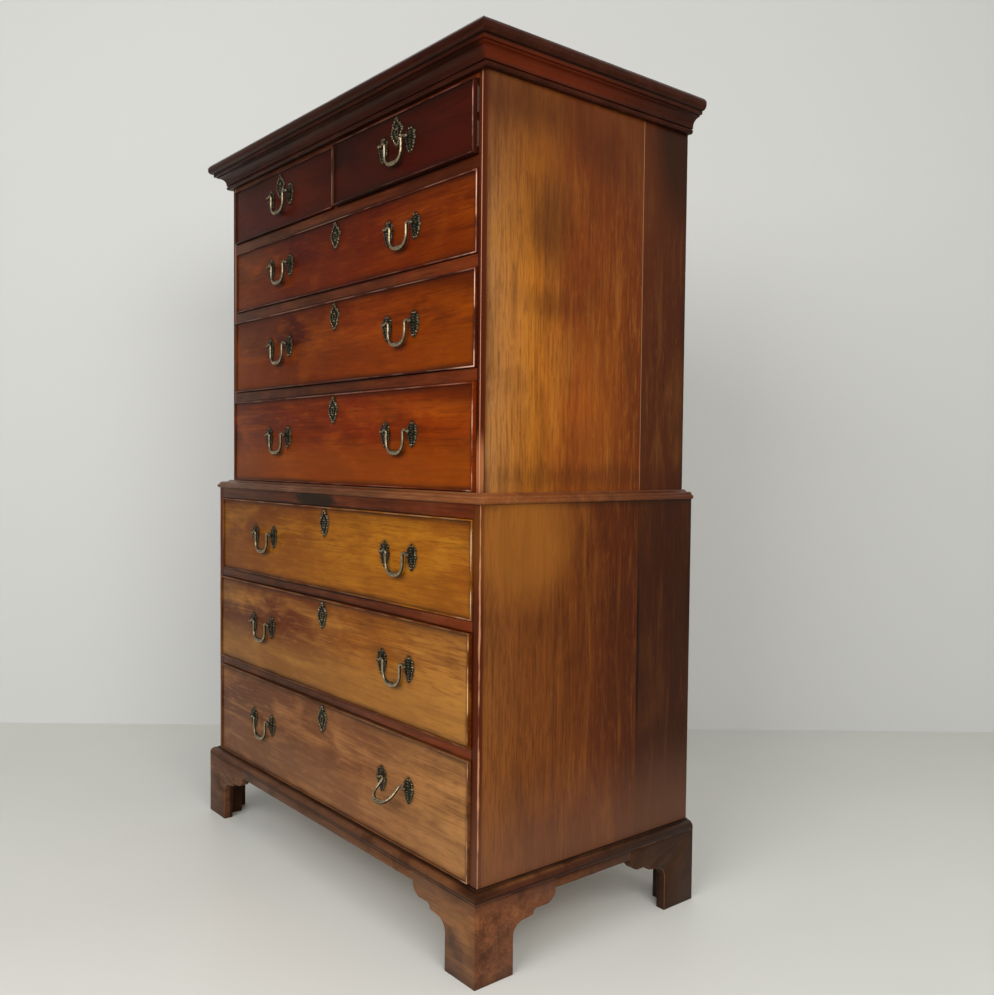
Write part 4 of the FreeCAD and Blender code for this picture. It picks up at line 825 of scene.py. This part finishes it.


# Each drawer: tones from left to right, dark and light figure, tone towards the lower edge and how
# much of it, and tone of the rubbed bead, which is also its painted highlight on the right length.
DRAWERS = {
    "drawer_7": (["#532d1d", "#61371c", "#7d4c27", "#a9753f"],
                 "#532c14", "#b37a46", "#825938", 0.3, "#b08a6a"),
    "drawer_6": (["#51311f", "#562002", "#8c5112", "#a66d2e"],
                 "#552508", "#b47a33", "#93632a", 0.5, "#c8a478"),
    "drawer_5": (["#532b13", "#794105", "#9c5e0f", "#88490e"],
                 "#5b2905", "#b3771d", "#8f520c", 0.3, "#c8aa90"),
    "drawer_4": (["#4c2e27", "#6a2302", "#702102", "#7f3002"],
                 "#431302", "#9d4c08", "#853f05", 0.5, "#d8a890"),
    "drawer_3": (["#633218", "#360802", "#782d02", "#7a3402"],
                 "#3f1102", "#954704", "#732f03", 0.4, "#d8a890"),
    "drawer_2": (["#5d3117", "#410b02", "#5d1b02", "#6b2802"],
                 "#360a02", "#8a3d04", "#662302", 0.3, "#d8a890"),
    "short_drawer_left": (["#3d1106", "#390b04", "#3e0e02", "#2a0702"],
                          "#1f0602", "#571905", "#3c0d03", 0.3, "#8a5848"),
    "short_drawer_right": (["#1b0503", "#300b04", "#320c08", "#3d1107"],
                           "#170402", "#471107", "#380b03", 0.5, "#c08474"),
}
POST_RISE, SHORT_POST_RISE, KEY_DROP = 0.013, 0.010, 0.0355     # above the middle, and below the top
UPPER_REACH, LOWER_REACH, POST_APART = 0.264, 0.296, 0.098      # middle to handle, and post to post


def brass_places(drawer):
    """Middles of the handles, level of their posts, and middle of the keyhole."""
    x0, x1, z0, z1, *_ = front_box(drawer)
    short = drawer.startswith("short")
    post = (z0 + z1) / 2 + (SHORT_POST_RISE if short else POST_RISE)
    reach = UPPER_REACH if drawer[-1] in "234" else LOWER_REACH
    handles = {"": (x0 + x1) / 2} if short else {"_left": -reach, "_right": reach}
    return handles, post, ((x0 + x1) / 2, z1 - KEY_DROP)


for drawer, (tones, dark, light, foot_tone, foot_share, rubbed) in DRAWERS.items():
    x0, x1, z0, z1, face, inside = front_box(drawer)
    handles, post, key = brass_places(drawer)
    front = ((x0, face, z0), (x1, inside, z1))
    wood = Finish(f"French-polished figured mahogany, {drawer.replace('_', ' ')}", 0, front)
    wood.tones(0, tones).figure(dark, light, 0.5)
    wood.lay(foot_tone, wood.axes[2], z0 + 0.6 * (z1 - z0), z0 + 0.05, foot_share)
    wood.lay(dark, wood.ragged(wood.axes[2], 0.03, 5.0, 9.0), z1 - 0.03, z1 + 0.01, 0.5)
    # dirt, and painted shade beside the cockbead, along the edges of the board
    wood.lay(DIRT_AND_SHADE, wood.ragged(wood.to_edge((0, 2)), -0.012, 9.0, 22.0), 0.009, -0.006, 0.8)
    # grime round each post, under each bail and round the keyhole
    for centre in handles.values():
        for side in (-POST_APART / 2, POST_APART / 2):
            wood.spot(DIRT_AND_SHADE, (centre + side, face, post - 0.005), (0.024, 0.1, 0.036), 0.5, 0.7)
        wood.spot(DIRT_AND_SHADE, (centre, face, post - 0.044), (0.034, 0.1, 0.012), 0.4, 0.35, edge=1.2)
    wood.spot(DIRT_AND_SHADE, (key[0], face, key[1]), (0.023, 0.1, 0.037), 0.7, 0.7, edge=1.05)
    if drawer in ("drawer_3", "drawer_4"):
        wood.spot(dark, (x1, face, z1), (0.24, 0.1, 0.075), 0.2, 0.55)
    sheen = "#f2c090" if drawer in ("drawer_5", "drawer_6", "drawer_7") else "#f0a048"
    piece(board_mesh(drawer), drawer, wood.polish(sheen=sheen), (f"{drawer}_front",))

    edge_wood = Finish(f"Rubbed mahogany cockbead, {drawer.replace('_', ' ')}", 0, front)
    edge_wood.tones(0, [dark, dark, tones[1], tones[1]]).figure("#1c0c07", tones[2], 0.5).rub(rubbed)
    piece(bead_mesh(drawer), drawer, edge_wood.polish(), (f"{drawer}_front",))
print("drawer fronts:", len(DRAWERS))

# %% [markdown]
# The brasses were cast in sand, trimmed with files and lacquered gold; the lacquer has gone and the
# metal is an olive brown that turns pale where fingers and dusters rub it. The tarnish is a dull
# skin on a metal, so the surface is nearly all metal but rough, and a mark on each piece says where
# it is painted pale and bright: where it is rubbed, and as painted highlights where light would glint.

# %% Tarnished brass
def tarnished_brass(name, marked=True):
    """Olive brown skin, paler and smoother where the mesh marks rubbing and painted highlights."""
    material, tree, shader = new_material(name)
    where = add(tree, "TexCoord", output="Object")
    skin = add(tree, "TexNoise", {"Vector": where, "Scale": 180.0, "Detail": 4.0, "Roughness": 0.6})
    brown = add(tree, "ValToRGB", (skin,), stops=[(0.3, "#17130d"), (0.5, "#2c291b"), (0.68, "#4c4430")])
    mark = add(tree, "Attribute", output="Fac", attribute_name="rubbed") if marked else 0.15
    patches = add(tree, "MapRange", (skin, 0.35, 0.6, 0.45, 1.0))
    bright = add(tree, "Math", (patches, mark), operation="MULTIPLY")
    pits = add(tree, "TexNoise", {"Vector": where, "Scale": 900.0, "Detail": 2.0})
    feed(tree, shader, {
        "Base Color": add(tree, "Mix", {0: bright, 6: brown, 7: "#d8bf98"}, output=2, data_type="RGBA"),
        "Metallic": 0.85,
        "Roughness": add(tree, "MapRange", (bright, 0.0, 1.0, 0.38, 0.17)),
        "Normal": add(tree, "Bump", {"Height": pits, "Strength": 0.35, "Distance": 0.0003})})
    return material


brass = tarnished_brass("tarnished cast brass")
iron_brass = tarnished_brass("tarnished brass, locks and nuts", marked=False)
print("finish:", brass.name)

# %% [markdown]
# A handle is two posts, each on its own leaf-shaped plate, and a bail that swings between them.
# The plate is cast in the scrolling leaf style: a pointed top, lobed shoulders, a raised rim and
# ribs that run out to the lobes. Its outline is a list of levels and half widths, and its relief is
# a few ridges and ripples added together.

# %% Leaf plates
LEAF = np.array([(21, 0), (19.6, 2.2), (18, 4.4), (16.4, 5.2), (15, 4.8), (13.6, 7.8), (12, 12.2),
                 (10, 15), (7.6, 15.6), (5.4, 14), (3.6, 12.6), (1.6, 13.6), (-1, 15.8), (-4, 16.5),
                 (-7, 15.6), (-9.2, 13.2), (-10.8, 12.2), (-12.8, 13.4), (-15.2, 13.2), (-17.4, 11),
                 (-19, 9.6), (-20.8, 10.4), (-22.8, 9.4), (-24.6, 6.6), (-26.2, 5.6), (-28, 5.4),
                 (-29.6, 3.4), (-31, 0)]) * MM * [1.05, 1.14]


def bell(distance, width):
    """exp(-(distance / width) squared): a ridge of height 1."""
    return np.exp(-(distance / width) ** 2)


def plate_mesh(name, place, u, v, thick, bright, every, close_rows=False):
    """The front's grid (u, v) stands before the board by its thickness; every so many of its columns
    come back flat on the board and close it."""
    x, face, z = place
    front = np.stack([x + u, face - thick, z + v], axis=-1)
    back_u, back_v = u[:, ::-every], v[:, ::-every]
    back = np.stack([x + back_u, np.full_like(back_u, face), z + back_v], axis=-1)
    marks = np.hstack([bright, np.zeros_like(back_u)])
    return mesh_from_grid(name, np.concatenate([front, back], axis=1), close_rows=close_rows,
                          close_columns=True, marks={"rubbed": marks}, smooth=50)


def leaf_mesh(name, place, hand, seed):
    """Rows go down the plate, columns across its front. Thickness = a plate of 1.1 mm + a raised rim
    near the edge + ribs slanting to the lobes + a ridge down the middle + a dome round the post, and
    it falls to 0.35 mm at the edge."""
    level = np.linspace(LEAF[0, 0], LEAF[-1, 0], 70)[:, None]
    wide = np.interp(-level, -LEAF[:, 0], LEAF[:, 1])
    across = np.sin(np.linspace(-np.pi / 2, np.pi / 2, 19))[None, :]
    aside = np.abs(across)
    u = wide * across + 0.9 * MM * np.sin(level * 190 + seed) * (1 - aside) * hand
    v = np.broadcast_to(level, u.shape)
    ribs = 0.9 * np.cos(2 * np.pi * (v / (5.4 * MM) + 1.1 * aside * hand)) * (1 - across ** 2)
    relief = (1.1 * bell(aside - 0.8, 0.13) + ribs * np.clip(wide / (8 * MM), 0, 1)
              + 0.7 * bell(across, 0.16))
    dome = 2.2 * bell(np.hypot(u, v), 12 * MM)
    thick = (0.35 + (0.75 + relief + dome) * (1 - across ** 8)) * MM * np.clip(wide / (2 * MM), 0.35, 1)
    # the tops of the ridges are rubbed pale and carry painted glints
    bright = 0.6 * np.clip((relief - 0.55) / 0.8, 0, 1) ** 2
    return plate_mesh(name, place, u, v, thick, bright, 6)


test_leaf = leaf_mesh("leaf_trial", (0, 0, 0), 1, 0)
print("one leaf plate:", len(test_leaf.polygons), "faces")
bpy.data.meshes.remove(test_leaf)

# %% [markdown]
# A post is turned: a collar on the plate, a thin neck, a ball that holds the end of the bail, and a
# small button on the front. The bail is a rod that swells in the middle, with fine rings turned on
# it, bent cold to the shape of a swan's neck. Both are circles carried along a line, with a
# radius that changes along the way.

# %% Posts and bails
def turned(name, place, outline, sides=20):
    """Rows follow the outline (distance in front of the face, radius); columns go round it."""
    x, face, z = place
    outline = np.asarray(outline) * MM
    out, radius = outline[:, :1], outline[:, 1:]
    angle = np.linspace(0, 2 * np.pi, sides, endpoint=False)
    points = np.stack([x + radius * np.cos(angle), face - out + 0 * angle, z + radius * np.sin(angle)],
                      axis=-1)
    # the front of the ball and button is rubbed pale and carries a painted highlight
    bright = 0.35 * np.clip((out - 0.0125) / 0.002, 0, 1)
    return mesh_from_grid(name, points, close_columns=True, marks={"rubbed": bright}, smooth=45)


ball = np.linspace(-1.02, 1.42, 12)
POST = ([(-2, 0), (-2, 2.4), (0.9, 2.4), (0.9, 5.4), (1.6, 5.6), (2.3, 5.2), (2.7, 3.9), (3.5, 3.2),
         (4.7, 3.0), (5.3, 3.3)] + [(10 + 4.5 * math.sin(a), 4.9 * math.cos(a)) for a in ball]
        + [(14.5, 1.3), (14.8, 0.8), (14.8, 0)])
ARM, DROP, CORNER = 30.0, 43.5, 24.0    # millimetres: half the width, the depth and the lower bends
NECK, NECK_RISE = 7.0, 3.5              # half the length of the swan's neck, and how far it rises
PIN_LONG = 0.0055                       # metres of the bail that are pin at either end


def bail_line():
    """The bail's line from the left pivot to the right, and the distance along it: a pin, a neck that
    rises and falls as a squared sine, a straight arm, a corner and the bar, and back up in mirror order."""
    neck = np.linspace(0, np.pi, 14)
    bend = np.linspace(0, -np.pi / 2, 14)
    arm = np.linspace(0, CORNER - DROP, 7)[1:-1]
    bar = np.linspace(ARM - CORNER, CORNER - ARM, 14)[1:-1]
    parts = [([53, 49, 46], [0, 0, 0]),
             (ARM + NECK + NECK * np.cos(neck), NECK_RISE * np.sin(neck) ** 2),
             (np.full_like(arm, ARM), arm),
             (ARM - CORNER + CORNER * np.cos(bend), CORNER - DROP + CORNER * np.sin(bend))]
    half = np.hstack([np.array(part, dtype=float) for part in parts]).T
    bar = np.stack([bar, np.full_like(bar, -DROP)], axis=1)
    line = np.vstack([half, bar, (half * [-1, 1])[::-1]])[::-1] * MM
    run = np.concatenate([[0], np.cumsum(np.linalg.norm(np.diff(line, axis=0), axis=1))])
    return line, run


def bail_mesh(name, x, pivot_y, z, raised):
    """Rings round the line. Radius = 3.2 mm on the arms, easing up to 5.1 at the middle of the bar and
    down by 0.5 near each end, with narrow ridges on the bar, and 1.85 mm on the pins."""
    line, run = bail_line()
    from_middle = np.abs(run - run[-1] / 2)
    from_end = run[-1] / 2 - from_middle
    swell = 0.5 + 0.5 * np.cos(np.pi * np.clip(from_middle / 0.034, 0, 1))
    radius = 3.2 + 1.9 * swell - 0.5 * bell(from_end - 0.014, 0.006)
    for ring in (0, 7.5, 10.5, 13.5):
        past = from_middle / MM - ring
        radius = radius + 0.42 * bell(past, 0.8) - 0.25 * bell(past - 1.5, 0.7)
    radius = np.where(from_end < PIN_LONG, 1.85, radius)
    radius[[0, -1]] = 0.3
    radius = radius * MM
    way = np.gradient(line, axis=0)
    way /= np.linalg.norm(way, axis=1)[:, None]
    normal = np.stack([way[:, 1], -way[:, 0]], axis=1)
    angle = np.linspace(0, 2 * np.pi, 18, endpoint=False)
    flat = line[:, None, :] + radius[:, None, None] * np.cos(angle)[None, :, None] * normal[:, None, :]
    depth = radius[:, None] * np.sin(angle)[None, :]
    lift = math.radians(raised)
    y = pivot_y + depth * math.cos(lift) + flat[..., 1] * math.sin(lift)
    up_by = z + flat[..., 1] * math.cos(lift) - depth * math.sin(lift)
    points = np.stack([x + flat[..., 0], y, up_by], axis=-1)
    # painted highlight along the front of the rod, brightest at the rings, over the rubbing
    front_side = np.clip(-np.sin(angle), 0, 1)[None, :] ** 2
    rings = bell(from_middle[:, None] / MM - np.array([0, 7.5, 13.5]), 1.2).sum(axis=1)
    bright = front_side * (0.75 + 0.25 * rings)[:, None]
    return mesh_from_grid(name, points, close_columns=True, caps=True, marks={"rubbed": bright}, smooth=60)


print("bail line, mm:", round(bail_line()[1][-1] / MM, 1))

# %% [markdown]
# The escutcheon frames the keyhole: a long cast plate with a finial of two beads at the top, a
# raised ring round the hole, lobed sides and a pointed foot. Its grid runs round the plate in one
# direction and from the keyhole out to the rim and round the back in the other, so the
# keyhole is a real hole.

# %% Escutcheons, and the locks and nuts behind
SHIELD = np.array([(31.5, 0), (30.6, 1.8), (29.2, 2.6), (27.8, 2.2), (26.8, 1.8), (25.6, 3.4), (24, 5.2),
                   (22.2, 5.4), (20.8, 4.6), (19.4, 7.4), (17.2, 11.2), (14.6, 12.6), (12.2, 12),
                   (9.6, 13.6), (6, 16), (2, 17), (-2, 16.8), (-5.6, 15.2), (-8.2, 13.2), (-10.4, 13.4),
                   (-13, 12.6), (-15.4, 10.2), (-17, 9.4), (-19, 9.8), (-21.2, 8.6), (-23, 6.2),
                   (-24.6, 5.4), (-26.4, 5), (-28, 3.2), (-29.4, 2.8), (-30.6, 2),
                   (-31.5, 0)]) * MM * [1.04, 1.28]
HOLE = np.array([(3, 0), (2.6, 1.5), (1.5, 2.6), (0, 3.0), (-1.5, 2.6), (-2.6, 1.5), (-9, 1.5),
                 (-9.01, 0)]) * MM


def loop(outline):
    """Points down an outline's right side and back up its left, closer together near its ends."""
    share = (1 - np.cos(np.linspace(0, np.pi, 60))) / 2
    level = outline[0, 0] + (outline[-1, 0] - outline[0, 0]) * share
    wide = np.interp(-level, -outline[:, 0], outline[:, 1])
    right_side, left_side = np.stack([wide, level], axis=1), np.stack([-wide, level], axis=1)
    return np.concatenate([right_side, left_side[::-1][1:-1]])


def escutcheon_mesh(name, place):
    """Outer and inner loops are sampled at matching shares of their heights. The front's height over
    the share from hole to rim is a ring at 0.16, a hollow at 0.5 and a rim at 0.84, with beads where
    the plate is wide."""
    outer, inner = loop(SHIELD), loop(HOLE)
    steps = np.linspace(0, 1, 13)
    flat = inner[:, None, :] + (outer - inner)[:, None, :] * steps[None, :, None]
    gap = np.linalg.norm(outer - inner, axis=1)[:, None]
    beads = 1.1 * np.cos(flat[..., 1] / MM * 2 * np.pi / 5.2) * np.clip(gap / (8 * MM) - 0.6, 0, 1)
    rings = 0.9 * bell(steps - 0.16, 0.12) + 1.4 * bell(steps - 0.84, 0.1) - 0.8 * bell(steps - 0.5, 0.16)
    high = 1.1 + rings + beads * 0.6
    high = high * (1 - 0.75 * steps ** 14) * np.clip(gap / (6 * MM), 0.6, 1)
    u, v = flat[..., 0] + 1.3 * MM * np.sin(flat[..., 1] * 230) * steps, flat[..., 1]
    # the highest relief is rubbed pale and carries painted glints
    bright = 0.65 * np.clip((high - 1.7) / 0.7, 0, 1)
    return plate_mesh(name, place, u, v, high * MM, bright, 4, close_rows=True)


INSIDE_BOARD = 0.005                        # what starts this far behind the face is a lock or a nut
PIVOT_AHEAD = 0.010                         # the bails' pivots are so far in front of the face
RAISED = {"drawer_7_right": 45}             # degrees by which a bail stands up at rest


def behind_mesh(drawer):
    """Lock and nuts from the CAD brasses: the triangles that lie wholly in or behind the board."""
    face = front_box(drawer)[4]
    corners, triangles = cad_triangles(f"{drawer}_brasses")
    kept = corners[triangles][..., 1].min(axis=1) > face + INSIDE_BOARD
    return mesh_of(f"{drawer}_lock_and_nuts", corners, triangles[kept])


for number, drawer in enumerate(DRAWERS):
    handles, post, key = brass_places(drawer)
    face = front_box(drawer)[4]
    node = f"{drawer}_brasses"
    for side, centre in handles.items():
        ends = ("outer", "inner") if side == "_left" else ("inner", "outer")
        for hand, end in zip((-1, 1), ends):
            label = f"{drawer}_plate{side}_{end}"
            place = (centre + hand * POST_APART / 2, face, post)
            piece(leaf_mesh(label, place, hand, number + hand), drawer, brass, (node,))
            piece(turned(label.replace("plate", "post"), place, POST), drawer, brass, (node,))
        bail = f"{drawer}_bail{side}"
        raised = RAISED.get(drawer + side, 0)
        rod = bail_mesh(f"{bail}_rod", centre, face - PIVOT_AHEAD, post, raised)
        piece(rod, bail, brass, (bail,))
    shield = escutcheon_mesh(f"{drawer}_escutcheon", (key[0], face, key[1]))
    piece(shield, drawer, brass, (node,))
    piece(behind_mesh(drawer), drawer, iron_brass, (node,))
print("brasses on", len(DRAWERS), "drawers")

# %% [markdown]
# View transform Standard shows each colour as it is.

# %% Finish
bpy.context.scene.view_settings.view_transform = "Standard"
bpy.context.view_layer.update()
